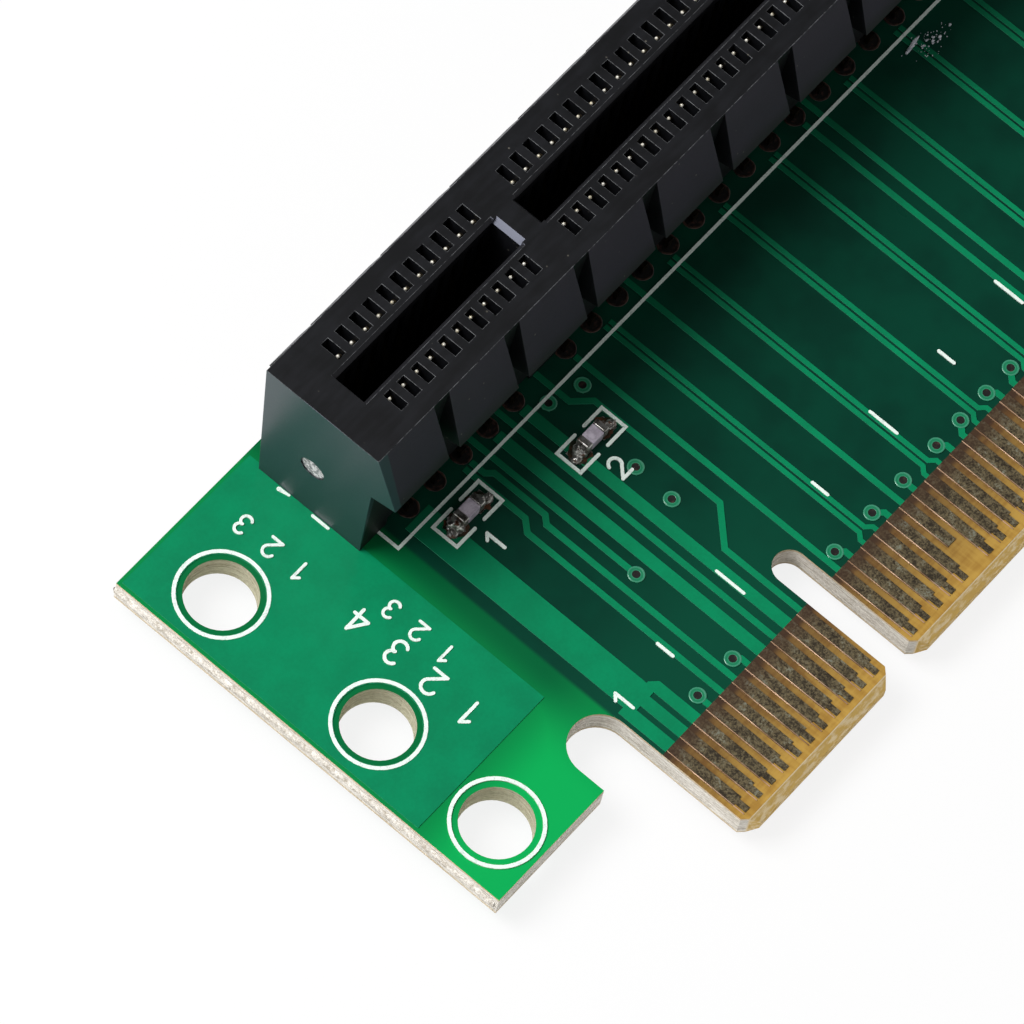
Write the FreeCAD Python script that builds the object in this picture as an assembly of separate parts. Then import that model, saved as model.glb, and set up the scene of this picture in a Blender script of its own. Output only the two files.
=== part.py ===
# A riser card for a low server case: a printed board whose gold-finger edge plugs into a mainboard slot,
# with a card slot of the same eight-lane width soldered along its far edge. A tab with three holes takes its
# screws.
#
# Millimetres. X runs along the contact rows towards the last contact, Y from the finger edge to the card
# slot, Z up through the component side. The origin is on the centre line of the key notch, at the finger
# edge, on the underside of the board.
import math
import os

import FreeCAD
import Part

# Contacts: the same layout serves the fingers, the solder tails and the card slot
CONTACT_PITCH = 1.00
KEY_GAP = 3.00                  # between the contacts each side of the key
KEY_CONTACT = 11                # last contact before the key
CONTACT_COUNT = 49
FRONT_SHORT_CONTACTS = (17, 31, 48)
REAR_SHORT_CONTACTS = (1,)

# Board
BOARD_THICKNESS = 1.57
BOARD_LEFT = -23.40
BOARD_FAR = 31.08
BOARD_BEYOND_HOUSING = 1.00
TAB_BOTTOM = 6.58               # the level of the tab's lower edge, and of the shoulder at the other end
TONGUE_MARGIN = 0.60            # from an outermost contact's centre to the tongue's side
TONGUE_CORNER = 0.75
EDGE_BEVEL = 0.45
KEY_NOTCH_WIDTH = 1.90
KEY_NOTCH_TOP = 8.50
TAB_NOTCH_WIDTH = 3.40
TAB_NOTCH_TOP = 9.90
SCREW_HOLE_RADIUS = 1.90
SCREW_HOLE_INSET = 3.03         # from the board's left edge
SCREW_HOLE_FAR_INSET = 4.14     # of the farthest hole, from the board's far edge
SCREW_HOLE_SPACINGS = (10.08, 7.58)

# Fingers
FINGER_THICKNESS = 0.05
FINGER_WIDTH = 0.65
FINGER_TOP = 5.70               # where the lacquer starts
FINGER_END = 1.48
SHORT_FINGER_END = 2.55
FINGER_STUB_WIDTH = 0.35
FINGER_STUB_END = 0.81

# Copper runs, each with the lacquer over it
RUN_THICKNESS = 0.05
WIDE_RUN_WIDTH = 0.67
SINGLE_RUN_WIDTH = 0.33
PAIR_RUN_WIDTH = 0.26
PAIR_GAP = 0.14
RUN_END_CLEARANCE = 0.65              # a run stops this far in front of its solder tail
VIA_PAD_RADIUS = 0.45
COMB_MARGIN_LEFT = 0.38         # the supply comb's sides, outside its first and third fingers' centre lines
COMB_MARGIN_RIGHT = 0.31
COMB_LENGTH = 3.03
COMB_CORNER = 0.40
COMB_SLIT_WIDTH = 0.32
COMB_SLIT_LENGTH = 2.46
SUPPLY_CONTACTS = (1, 2, 3)
SUPPLY_RUN_LEFT = 0.02          # the broad run's sides, inside those centre lines
SUPPLY_RUN_RIGHT = 0.20
WIDE_RUN_CONTACTS = (8, 10)
PLAIN_RUN_CONTACTS = (9, 12, 17, 30, 31, 48)
PAIR_CONTACTS = (14, 19, 23, 27, 33, 37, 41, 45)
STEPPED_RUNS = {                # contact number: the bends, as (aside of it, before the slot's centre)
    5: ((-0.04, 8.63), (0.51, 8.03)),
    6: ((-0.05, 9.03), (0.33, 8.63), (0.33, 5.33), (0.0, 4.98)),
}
KEY_RUN_CONTACT = 11            # its run steps over the key notch and back
KEY_RUN_ABOVE_NOTCH = 2.05
KEY_RUN_STEP = 1.78
KEY_RUN_STEP_BACK = 0.88
KEY_RUN_BACK_BEFORE_SLOT = 6.38
VIA_STUB_LENGTH = 0.78          # from the finger's top to the centre of its via
GROUND_VIAS = {                 # contact number: how far its via stands aside of the contact
    4: 0.0, 7: -0.30, 13: -0.37, 16: -0.45, 18: 0.0, 21: -0.37, 22: 0.55, 25: -0.37, 26: 0.55, 29: -0.37,
    32: 0.0, 35: -0.37, 36: 0.55, 39: -0.37, 40: 0.55, 43: -0.37, 44: 0.55, 47: -0.37, 49: 0.0,
}
VIA_RUN_CONTACT = 7             # its run starts at a via half way up the board
LONE_VIAS = (                   # nearest contact, how far aside of it, how far before the slot's centre
    (7, -0.07, 13.98), (11, 0.28, 12.64), (11, 0.40, 10.21), (11, 0.10, 4.80), (12, -0.97, 5.39),
)
POUR_EDGE_MARGIN = 0.20
POUR_HOLE_MARGIN = 0.30
POUR_BESIDE_TONGUE = 1.62
POUR_ABOVE_NOTCH = 2.00

# Card slot
SLOT_INSET = 4.25               # from the board's far edge to the slot's centre line
HOUSING_HEIGHT = 11.25
HOUSING_TOP_WIDTH = 7.10
HOUSING_FOOT_WIDTH = 6.52
HOUSING_END_MARGIN = 3.10       # from an outermost contact's centre to the housing's end, at the top
HOUSING_END_DRAFT = 0.63        # the ends lean in by this much at the foot
SLOT_WIDTH = 1.80
SLOT_DEPTH = 8.40
SLOT_LEAD_IN = 0.20
SLOT_END_CLEARANCE = 0.55       # beyond the side of a plugged-in tongue
KEY_WALL_CLEARANCE = 0.10       # between the key wall and each side of a plugged-in card's notch
KEY_LEAD_IN_WIDTH = 0.25
KEY_LEAD_IN_DEPTH = 0.40
CHANNEL_WIDTH = 0.50
CHANNEL_LENGTH = 1.15           # across the slot, as seen from above
CHANNEL_RIM = 0.50              # the wall between slot and channel at the top
CHANNEL_RIM_DEPTH = 0.85        # below its rim a channel is open to the slot
STANDOFF = 0.80                 # the underside stays this far above the board, but for the feet
FOOT_MARGIN = 0.45
PANEL_COUNT = 11
PANEL_GAP_TOP = 1.13
PANEL_GAP_FOOT = 0.75
PANEL_DROP = 3.90               # from the housing's top to the panels' tips
PANEL_UNDERCUT = 0.62           # the panels' underside turns in this much below their tips
FRONT_PANEL_FLARE = 1.40        # the tips stand this far out from the housing's top edge
REAR_PANEL_FLARE = 1.10
REAR_PANEL_INSET = 2.00
PEG_RADIUS = 0.80
PEG_CLEARANCE = 0.08
PEG_SHORT_OF_UNDERSIDE = 0.22
PEG_BEYOND_LAST_CONTACT = 1.65
GATE_MARK_RADIUS = 0.76
GATE_MARK_DEPTH = 0.10
GATE_MARK_HEIGHT = 4.75
GATE_MARK_ASIDE = 0.15          # from the slot's centre line, towards the board's far edge

# Spring contacts of the slot
SPRING_WIDTH = 0.40
SPRING_THICKNESS = 0.22
SPRING_TIP_BELOW_TOP = 0.40
SPRING_TIP_FROM_RIM = 0.24
SPRING_BOW_BELOW_TOP = 3.85
SPRING_BOW_INTO_SLOT = 0.10     # the bows stand this far out of the slot's walls
INNER_HEEL_HEIGHT = 3.20
INNER_TAIL_ROW = 1.40           # from the slot's centre line
OUTER_HEEL_FROM_CHANNEL_END = 0.30
OUTER_HEEL_HEIGHT = 0.45
OUTER_TAIL_ROW = 3.45
TAIL_BELOW_BOARD = 1.10
TAIL_HOLE_CLEARANCE = 0.05

# Chip capacitors
CAPACITOR_PLACES = ((4, -0.28, 5.83), (11, 0.0, 7.67))  # contact, aside of it, before the slot
CAPACITOR_LENGTH = 1.60
CAPACITOR_WIDTH = 0.80
CAPACITOR_HEIGHT = 0.80
TERMINAL_LENGTH = 0.36
BODY_INSET = 0.02
PAD_BEYOND_TERMINAL = 0.62
PAD_MARGIN = 0.06
SOLDER_HEIGHT = 0.56
SOLDER_CREST = 0.15             # the fillet keeps its height this far out from the terminal

# White print
INK_THICKNESS = 0.03
RING_FROM_HOLE = 0.32
RING_WIDTH = 0.28
OUTLINE_WIDTH = 0.20
OUTLINE_BEFORE_SLOT = 4.56
OUTLINE_MARGIN = 1.04           # outside the outermost contacts
BRACKET_WIDTH = 0.22
BRACKET_MARGIN = 0.20           # clear of the capacitor's pads
BRACKET_OPENING = 0.48
TICK_WIDTH = 0.22
TICK_FROM_FINGERS = 3.50
FIFTH_TICK_LENGTH = 1.19
TENTH_TICK_LENGTH = 1.94

# Small round pieces, and thin round ones, are drawn with this many flat sides
SMALL_ROUND_SIDES = 10
VIA_SIDES = 8
RING_SIDES = 20

FRONT = -1                      # the slot's side towards the fingers
REAR = 1


def contact_x(number):
    """The X of a contact's centre line, counted from 1 at the tab's end."""
    if number <= KEY_CONTACT:
        return -KEY_GAP / 2 - (KEY_CONTACT - number) * CONTACT_PITCH
    return KEY_GAP / 2 + (number - KEY_CONTACT - 1) * CONTACT_PITCH


# Places and sizes that follow from those above
BOARD_TOP = BOARD_THICKNESS
RUN_TOP = BOARD_TOP + RUN_THICKNESS
HOUSING_TOP = RUN_TOP + HOUSING_HEIGHT
SLOT_CENTRE_Y = BOARD_FAR - SLOT_INSET
TONGUE_LEFT = contact_x(1) - TONGUE_MARGIN
TONGUE_RIGHT = contact_x(CONTACT_COUNT) + TONGUE_MARGIN
HOUSING_LEFT = contact_x(1) - HOUSING_END_MARGIN
HOUSING_RIGHT = contact_x(CONTACT_COUNT) + HOUSING_END_MARGIN
BOARD_RIGHT = HOUSING_RIGHT + BOARD_BEYOND_HOUSING
SCREW_HOLE_X = BOARD_LEFT + SCREW_HOLE_INSET
SCREW_HOLE_ROWS = [BOARD_FAR - SCREW_HOLE_FAR_INSET]
for spacing in SCREW_HOLE_SPACINGS:
    SCREW_HOLE_ROWS.append(SCREW_HOLE_ROWS[-1] - spacing)
CHANNEL_INNER = SLOT_WIDTH / 2 + CHANNEL_RIM
CHANNEL_OUTER = CHANNEL_INNER + CHANNEL_LENGTH
PANEL_PITCH = (HOUSING_RIGHT - HOUSING_LEFT + PANEL_GAP_TOP) / PANEL_COUNT

SHORT_TONGUE_CONTACTS = range(1, KEY_CONTACT + 1)
LONG_TONGUE_CONTACTS = range(KEY_CONTACT + 1, CONTACT_COUNT + 1)
ALL_CONTACTS = range(1, CONTACT_COUNT + 1)
INNER_ROW_CONTACTS = range(1, CONTACT_COUNT + 1, 2)
OUTER_ROW_CONTACTS = range(2, CONTACT_COUNT + 1, 2)


def plate(outline, bottom, thickness):
    """A flat solid with the given outline in plan, standing on one level."""
    corners = [FreeCAD.Vector(x, y, bottom) for x, y in outline]
    wire = Part.makePolygon(corners + corners[:1])
    return Part.Face(wire).extrude(FreeCAD.Vector(0, 0, thickness))


def bar(section, x_span):
    """A solid of one cross-section, given as (y, z) corners, running along X."""
    corners = [FreeCAD.Vector(x_span[0], y, z) for y, z in section]
    wire = Part.makePolygon(corners + corners[:1])
    return Part.Face(wire).extrude(FreeCAD.Vector(x_span[1] - x_span[0], 0, 0))


def crossbar(section, y_span):
    """A solid of one cross-section, given as (x, z) corners, running along Y."""
    corners = [FreeCAD.Vector(x, y_span[0], z) for x, z in section]
    wire = Part.makePolygon(corners + corners[:1])
    return Part.Face(wire).extrude(FreeCAD.Vector(0, y_span[1] - y_span[0], 0))


def block(x_span, y_span, z_span):
    """A solid that fills the given spans."""
    corner = FreeCAD.Vector(x_span[0], y_span[0], z_span[0])
    return Part.makeBox(x_span[1] - x_span[0], y_span[1] - y_span[0], z_span[1] - z_span[0], corner)


def upright(x, y, radius, bottom, height):
    """A round solid with an upright axis."""
    return Part.makeCylinder(radius, height, FreeCAD.Vector(x, y, bottom))


def faceted_round(x, y, radius, bottom, height, sides=SMALL_ROUND_SIDES):
    """An upright round solid drawn with a few flat sides, for what is small or very thin."""
    angles = [2 * math.pi * side / sides for side in range(sides)]
    outline = [(x + radius * math.cos(angle), y + radius * math.sin(angle)) for angle in angles]
    return plate(outline, bottom, height)


def span(centre, width):
    """The two ends of a width set evenly about a centre."""
    return centre - width / 2, centre + width / 2


def band(centre_line, width):
    """The outline of a band of even width, mitred where its centre line bends."""
    steps = zip(centre_line, centre_line[1:])
    headings = [math.atan2(end[1] - start[1], end[0] - start[0]) for start, end in steps]
    left_side = []
    right_side = []
    for before, after, (u, v) in zip(headings[:1] + headings, headings + headings[-1:], centre_line):
        half_turn = (after - before) / 2
        reach = width / 2 / math.cos(half_turn)
        across = before + half_turn + math.pi / 2
        left_side.append((u + reach * math.cos(across), v + reach * math.sin(across)))
        right_side.append((u - reach * math.cos(across), v - reach * math.sin(across)))
    return left_side + right_side[::-1]


def tail_row(number, side):
    """The Y of a contact's solder tail: even contacts use the outer row and odd ones the inner row."""
    distance = INNER_TAIL_ROW if number in INNER_ROW_CONTACTS else OUTER_TAIL_ROW
    return SLOT_CENTRE_Y + side * distance


def save(node, solids):
    """Writes one named piece, or a group of like pieces, as its own file."""
    shape = solids[0] if len(solids) == 1 else Part.makeCompound(solids)
    shape.exportStep(os.path.join("parts", node + ".step"))


# ---- Board: one piece of glass-epoxy laminate, routed to shape, drilled, and bevelled where it plugs in ----
def board_outline():
    """The board's corners in plan, with the two tongues' clipped corners and no notches yet."""
    key_left, key_right = span(0, KEY_NOTCH_WIDTH)
    return [
        (BOARD_LEFT, TAB_BOTTOM),
        (TONGUE_LEFT, TAB_BOTTOM),
        (TONGUE_LEFT, TONGUE_CORNER),
        (TONGUE_LEFT + TONGUE_CORNER, 0),
        (key_left - TONGUE_CORNER, 0),
        (key_left, TONGUE_CORNER),
        (key_right, TONGUE_CORNER),
        (key_right + TONGUE_CORNER, 0),
        (TONGUE_RIGHT - TONGUE_CORNER, 0),
        (TONGUE_RIGHT, TONGUE_CORNER),
        (TONGUE_RIGHT, TAB_BOTTOM),
        (BOARD_RIGHT, TAB_BOTTOM),
        (BOARD_RIGHT, BOARD_FAR),
        (BOARD_LEFT, BOARD_FAR),
    ]


def full_round_notch(x_centre, width, top):
    """A routed slot that comes in from the finger edge and ends in a half circle."""
    radius = width / 2
    straight = block(span(x_centre, width), (0, top - radius), (0, BOARD_THICKNESS))
    return straight.fuse(upright(x_centre, top - radius, radius, 0, BOARD_THICKNESS))


def tail_holes():
    """An opening for every solder tail, with a little room round the tail."""
    width = SPRING_WIDTH + 2 * TAIL_HOLE_CLEARANCE
    depth = SPRING_THICKNESS + 2 * TAIL_HOLE_CLEARANCE
    holes = []
    for side in (FRONT, REAR):
        for number in ALL_CONTACTS:
            y_span = span(tail_row(number, side), depth)
            holes.append(block(span(contact_x(number), width), y_span, (0, BOARD_THICKNESS)))
    return holes


def peg_places():
    """Where the housing's two pegs sit: in the key gap, and beyond the last contact."""
    return (0, contact_x(CONTACT_COUNT) + PEG_BEYOND_LAST_CONTACT)


def make_board():
    tongues = (TONGUE_LEFT, TONGUE_RIGHT)
    lower_bevel = [(0, 0), (EDGE_BEVEL, 0), (0, EDGE_BEVEL)]
    upper_bevel = [(y, BOARD_THICKNESS - z) for y, z in lower_bevel]
    cuts = [bar(lower_bevel, tongues), bar(upper_bevel, tongues)]
    cuts.append(full_round_notch(0, KEY_NOTCH_WIDTH, KEY_NOTCH_TOP))
    cuts.append(full_round_notch(TONGUE_LEFT - TAB_NOTCH_WIDTH / 2, TAB_NOTCH_WIDTH, TAB_NOTCH_TOP))
    for y in SCREW_HOLE_ROWS:
        cuts.append(upright(SCREW_HOLE_X, y, SCREW_HOLE_RADIUS, 0, BOARD_THICKNESS))
    for x in peg_places():
        cuts.append(faceted_round(x, SLOT_CENTRE_Y, PEG_RADIUS + PEG_CLEARANCE, 0, BOARD_THICKNESS))
    return plate(board_outline(), 0, BOARD_THICKNESS).cut(cuts + tail_holes())


# ---- Gold fingers: plated pads on both faces of the tongues; the presence contacts are shorter ----
def plain_finger(number, short_contacts, bottom):
    """One plated finger with a square end."""
    end = SHORT_FINGER_END if number in short_contacts else FINGER_END
    x_span = span(contact_x(number), FINGER_WIDTH)
    return block(x_span, (end, FINGER_TOP), (bottom, bottom + FINGER_THICKNESS))


def stub_finger(number, short_contacts, bottom):
    """One plated finger, with the narrow plating stub that a full-length finger keeps at its end."""
    if number in short_contacts:
        return plain_finger(number, short_contacts, bottom)
    left, right = span(contact_x(number), FINGER_WIDTH)
    stub_left, stub_right = span(contact_x(number), FINGER_STUB_WIDTH)
    outline = [
        (left, FINGER_TOP),
        (left, FINGER_END),
        (stub_left, FINGER_END),
        (stub_left, FINGER_STUB_END),
        (stub_right, FINGER_STUB_END),
        (stub_right, FINGER_END),
        (right, FINGER_END),
        (right, FINGER_TOP),
    ]
    return plate(outline, bottom, FINGER_THICKNESS)


def make_front_fingers(contacts):
    return [stub_finger(number, FRONT_SHORT_CONTACTS, BOARD_TOP) for number in contacts]


def make_rear_fingers(contacts):
    return [plain_finger(number, REAR_SHORT_CONTACTS, -FINGER_THICKNESS) for number in contacts]


# ---- Chip capacitors: a ceramic body between two metal terminals, soldered to two pads of the board ----
def capacitor_centre(place):
    number, aside, before_slot = place
    return contact_x(number) + aside, SLOT_CENTRE_Y - before_slot


def capacitor_ends(centre):
    """The inner face, outer face, solder crest and pad end of both of a capacitor's ends, along X."""
    for side in (-1, 1):
        outer = centre[0] + side * CAPACITOR_LENGTH / 2
        inner = outer - side * TERMINAL_LENGTH
        yield inner, outer, outer + side * SOLDER_CREST, outer + side * PAD_BEYOND_TERMINAL


def make_pads(centre):
    y_span = span(centre[1], CAPACITOR_WIDTH + 2 * PAD_MARGIN)
    x_spans = [sorted((inner, pad_end)) for inner, _, _, pad_end in capacitor_ends(centre)]
    return [block(x_span, y_span, (BOARD_TOP, RUN_TOP)) for x_span in x_spans]


def make_capacitor_body(centre):
    x_span = span(centre[0], CAPACITOR_LENGTH - 2 * TERMINAL_LENGTH)
    y_span = span(centre[1], CAPACITOR_WIDTH - 2 * BODY_INSET)
    return block(x_span, y_span, (RUN_TOP + BODY_INSET, RUN_TOP + CAPACITOR_HEIGHT - BODY_INSET))


def make_terminals(centre):
    y_span = span(centre[1], CAPACITOR_WIDTH)
    x_spans = [sorted((inner, outer)) for inner, outer, _, _ in capacitor_ends(centre)]
    return [block(x_span, y_span, (RUN_TOP, RUN_TOP + CAPACITOR_HEIGHT)) for x_span in x_spans]


def make_solder(centre):
    """A fillet at each end: it climbs from the pad's end up the terminal's face."""
    y_span = span(centre[1], CAPACITOR_WIDTH)
    crest_level = RUN_TOP + SOLDER_HEIGHT
    fillets = []
    for _, outer, crest, pad_end in capacitor_ends(centre):
        section = [(outer, RUN_TOP), (pad_end, RUN_TOP), (crest, crest_level), (outer, crest_level)]
        fillets.append(crossbar(section, y_span))
    return fillets


# ---- Copper runs of the component side, from the fingers to the slot's solder tails ----


def run(centre_line, width):
    return plate(band(centre_line, width), BOARD_TOP, RUN_THICKNESS)


def run_end(number):
    """A run ends just in front of its own contact's solder tail."""
    return tail_row(number, FRONT) - RUN_END_CLEARANCE


def outer_run_end():
    """Where a run ends that can't pass between the tails of the outer row."""
    return SLOT_CENTRE_Y - OUTER_TAIL_ROW - RUN_END_CLEARANCE


def make_supply_comb():
    """The first three fingers join in a comb, which goes on as one broad run."""
    first = contact_x(SUPPLY_CONTACTS[0])
    last = contact_x(SUPPLY_CONTACTS[-1])
    left = first - COMB_MARGIN_LEFT
    right = last + COMB_MARGIN_RIGHT
    top = FINGER_TOP + COMB_LENGTH
    outline = [
        (left, FINGER_TOP),
        (right, FINGER_TOP),
        (right, top - COMB_CORNER),
        (right - COMB_CORNER, top),
        (left, top),
    ]
    comb = plate(outline, BOARD_TOP, RUN_THICKNESS)
    broad_span = (first + SUPPLY_RUN_LEFT, last - SUPPLY_RUN_RIGHT)
    broad_run = block(broad_span, (top, outer_run_end()), (BOARD_TOP, RUN_TOP))
    slits = []
    for number in SUPPLY_CONTACTS[:-1]:
        x_span = span(contact_x(number) + CONTACT_PITCH / 2, COMB_SLIT_WIDTH)
        slits.append(block(x_span, (FINGER_TOP, FINGER_TOP + COMB_SLIT_LENGTH), (BOARD_TOP, RUN_TOP)))
    return comb.fuse(broad_run).removeSplitter().cut(slits)


def make_supply_runs():
    """The supply comb and the two wide runs, left open where a capacitor's pads lie in them."""
    runs = [make_supply_comb()]
    for number in WIDE_RUN_CONTACTS:
        x = contact_x(number)
        runs.append(run([(x, FINGER_TOP), (x, run_end(number))], WIDE_RUN_WIDTH))
    pads = [pad for place in CAPACITOR_PLACES for pad in make_pads(capacitor_centre(place))]
    return [piece.cut(pads) for piece in runs]


def run_through(bends, end):
    """A single run from a finger's top, through its bends, to its end."""
    return [(bends[0][0], FINGER_TOP)] + list(bends) + [(bends[-1][0], end)]


def make_lone_vias():
    vias = []
    for number, aside, before_slot in LONE_VIAS:
        x = contact_x(number) + aside
        y = SLOT_CENTRE_Y - before_slot
        vias.append(faceted_round(x, y, VIA_PAD_RADIUS, BOARD_TOP, RUN_THICKNESS, VIA_SIDES))
    return vias


def make_signal_runs():
    """Single narrow runs: straight ones, and those that step aside for a capacitor or the key notch."""
    lines = []
    for number in PLAIN_RUN_CONTACTS:
        lines.append([(contact_x(number), FINGER_TOP), (contact_x(number), run_end(number))])
    for number, steps in STEPPED_RUNS.items():
        bends = [(contact_x(number) + aside, SLOT_CENTRE_Y - before_slot) for aside, before_slot in steps]
        lines.append(run_through(bends, outer_run_end()))
    key_x = contact_x(KEY_RUN_CONTACT)
    above_notch = KEY_NOTCH_TOP + KEY_RUN_ABOVE_NOTCH
    back = SLOT_CENTRE_Y - KEY_RUN_BACK_BEFORE_SLOT
    key_bends = [
        (key_x, above_notch),
        (key_x + KEY_RUN_STEP, above_notch + KEY_RUN_STEP),
        (key_x + KEY_RUN_STEP, back),
        (key_x + KEY_RUN_STEP - KEY_RUN_STEP_BACK, back + KEY_RUN_STEP_BACK),
    ]
    lines.append(run_through(key_bends, run_end(KEY_RUN_CONTACT)))
    number, aside, before_slot = LONE_VIAS[0]
    via_x = contact_x(number) + aside
    lines.append([(via_x, SLOT_CENTRE_Y - before_slot), (via_x, run_end(VIA_RUN_CONTACT))])
    vias = make_lone_vias()
    return [run(line, SINGLE_RUN_WIDTH).cut(vias) for line in lines]


def make_pair_runs():
    """Differential pairs: each leaves its two fingers, closes up, and runs straight to the slot."""
    half_spacing = (PAIR_RUN_WIDTH + PAIR_GAP) / 2
    closing = CONTACT_PITCH / 2 - half_spacing
    straight = FINGER_TOP + PAIR_RUN_WIDTH
    runs = []
    for number in PAIR_CONTACTS:
        middle = contact_x(number) + CONTACT_PITCH / 2
        for side in (-1, 1):
            finger_x = middle + side * CONTACT_PITCH / 2
            x = middle + side * half_spacing
            bends = [(finger_x, straight), (x, straight + closing)]
            runs.append(run(run_through(bends, outer_run_end()), PAIR_RUN_WIDTH))
    return runs


def make_ground_stubs():
    """Each ground finger's short stub, and the round pad of the via that takes it to the inner layer."""
    stubs = []
    via_y = FINGER_TOP + VIA_STUB_LENGTH
    for number, aside in GROUND_VIAS.items():
        x = contact_x(number)
        line = [(x, FINGER_TOP), (x, via_y)]
        if aside:
            line = [(x, FINGER_TOP), (x, via_y - abs(aside)), (x + aside / 2, via_y - abs(aside) / 2)]
        pad = faceted_round(x + aside, via_y, VIA_PAD_RADIUS, BOARD_TOP, RUN_THICKNESS, VIA_SIDES)
        stubs.append(pad.fuse(run(line, SINGLE_RUN_WIDTH)).removeSplitter())
    return stubs


def make_tab_pour():
    """The copper field of the tab, kept back from the edges and from the screw holes."""
    x_span = (BOARD_LEFT + POUR_EDGE_MARGIN, TONGUE_LEFT - POUR_BESIDE_TONGUE)
    y_span = (TAB_NOTCH_TOP + POUR_ABOVE_NOTCH, BOARD_FAR - POUR_EDGE_MARGIN)
    pour = block(x_span, y_span, (BOARD_TOP, RUN_TOP))
    radius = SCREW_HOLE_RADIUS + POUR_HOLE_MARGIN
    rows = [y for y in SCREW_HOLE_ROWS if y > y_span[0]]
    around = [faceted_round(SCREW_HOLE_X, y, radius, BOARD_TOP, RUN_THICKNESS, RING_SIDES) for y in rows]
    return pour.cut(around)


# ---- Card slot housing: one moulding with drafted ends, flared panels on both sides, feet and two pegs ----
def drafted_block(foot_width, top_width):
    """A block as long as the housing, with the housing's leaning ends."""
    ends = (HOUSING_LEFT, HOUSING_RIGHT)
    foot_ends = (HOUSING_LEFT + HOUSING_END_DRAFT, HOUSING_RIGHT - HOUSING_END_DRAFT)
    rectangles = []
    for (left, right), width, z in ((foot_ends, foot_width, RUN_TOP), (ends, top_width, HOUSING_TOP)):
        near, far = span(SLOT_CENTRE_Y, width)
        corners = [(left, near), (right, near), (right, far), (left, far), (left, near)]
        rectangles.append(Part.makePolygon([FreeCAD.Vector(x, y, z) for x, y in corners]))
    return Part.makeLoft(rectangles, True, True)


def panel_gaps():
    """The gaps between the panels, wider at the top than at the panels' tips."""
    low = HOUSING_TOP - PANEL_DROP - PANEL_UNDERCUT
    y_span = span(SLOT_CENTRE_Y, 2 * HOUSING_TOP_WIDTH)
    gaps = []
    for index in range(1, PANEL_COUNT):
        centre = HOUSING_LEFT + index * PANEL_PITCH - PANEL_GAP_TOP / 2
        top_left, top_right = span(centre, PANEL_GAP_TOP)
        low_left, low_right = span(centre, PANEL_GAP_FOOT)
        section = [(low_left, low), (low_right, low), (top_right, HOUSING_TOP), (top_left, HOUSING_TOP)]
        gaps.append(crossbar(section, y_span))
    return gaps


def make_panels(side, flare, inset):
    """One side's flared panels: they hang out from the top edge and turn back in under their tips."""
    edge = HOUSING_TOP_WIDTH / 2
    root = (CHANNEL_OUTER + HOUSING_FOOT_WIDTH / 2) / 2
    tip_level = HOUSING_TOP - PANEL_DROP
    section = [
        (root, tip_level - PANEL_UNDERCUT),
        (edge + flare, tip_level),
        (edge, HOUSING_TOP),
        (root, HOUSING_TOP),
    ]
    placed = [(SLOT_CENTRE_Y + side * out, z) for out, z in section]
    strip = bar(placed, (HOUSING_LEFT + inset, HOUSING_RIGHT - inset))
    wide = 2 * HOUSING_TOP_WIDTH
    return strip.common(drafted_block(wide, wide)).cut(panel_gaps())


def slot_cuts():
    """The card slot each side of its key wall, with lead-in chamfers along it and on the key wall."""
    half = SLOT_WIDTH / 2
    mouth = half + SLOT_LEAD_IN
    floor = HOUSING_TOP - SLOT_DEPTH
    throat = HOUSING_TOP - SLOT_LEAD_IN
    section = [
        (-mouth, HOUSING_TOP),
        (-half, throat),
        (-half, floor),
        (half, floor),
        (half, throat),
        (mouth, HOUSING_TOP),
    ]
    placed = [(SLOT_CENTRE_Y + y, z) for y, z in section]
    key_half = KEY_NOTCH_WIDTH / 2 - KEY_WALL_CLEARANCE
    left_end = TONGUE_LEFT - SLOT_END_CLEARANCE
    right_end = TONGUE_RIGHT + SLOT_END_CLEARANCE
    cuts = [bar(placed, (left_end, -key_half)), bar(placed, (key_half, right_end))]
    for side in (-1, 1):
        lead_in = [
            (side * key_half, HOUSING_TOP),
            (side * key_half, HOUSING_TOP - KEY_LEAD_IN_DEPTH),
            (side * (key_half - KEY_LEAD_IN_WIDTH), HOUSING_TOP),
        ]
        cuts.append(crossbar(lead_in, span(SLOT_CENTRE_Y, SLOT_WIDTH)))
    return cuts


def channel_cuts():
    """A channel for every contact, open at the top, at the underside and, below its rim, to the slot."""
    slot_wall = SLOT_WIDTH / 2
    rim_foot = HOUSING_TOP - CHANNEL_RIM_DEPTH
    section = [
        (CHANNEL_OUTER, HOUSING_TOP),
        (CHANNEL_INNER, HOUSING_TOP),
        (CHANNEL_INNER, rim_foot),
        (slot_wall, rim_foot),
        (slot_wall, RUN_TOP),
        (CHANNEL_OUTER, RUN_TOP),
    ]
    cuts = []
    for side in (FRONT, REAR):
        placed = [(SLOT_CENTRE_Y + side * out, z) for out, z in section]
        cuts += [bar(placed, span(contact_x(number), CHANNEL_WIDTH)) for number in ALL_CONTACTS]
    return cuts


def underside_cuts():
    """The housing stands on its ends and on a foot in the key gap, clear of the board between them."""
    y_span = span(SLOT_CENTRE_Y, 2 * HOUSING_TOP_WIDTH)
    cuts = []
    for contacts in (SHORT_TONGUE_CONTACTS, LONG_TONGUE_CONTACTS):
        x_span = (contact_x(contacts[0]) - FOOT_MARGIN, contact_x(contacts[-1]) + FOOT_MARGIN)
        cuts.append(block(x_span, y_span, (RUN_TOP, RUN_TOP + STANDOFF)))
    return cuts


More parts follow.
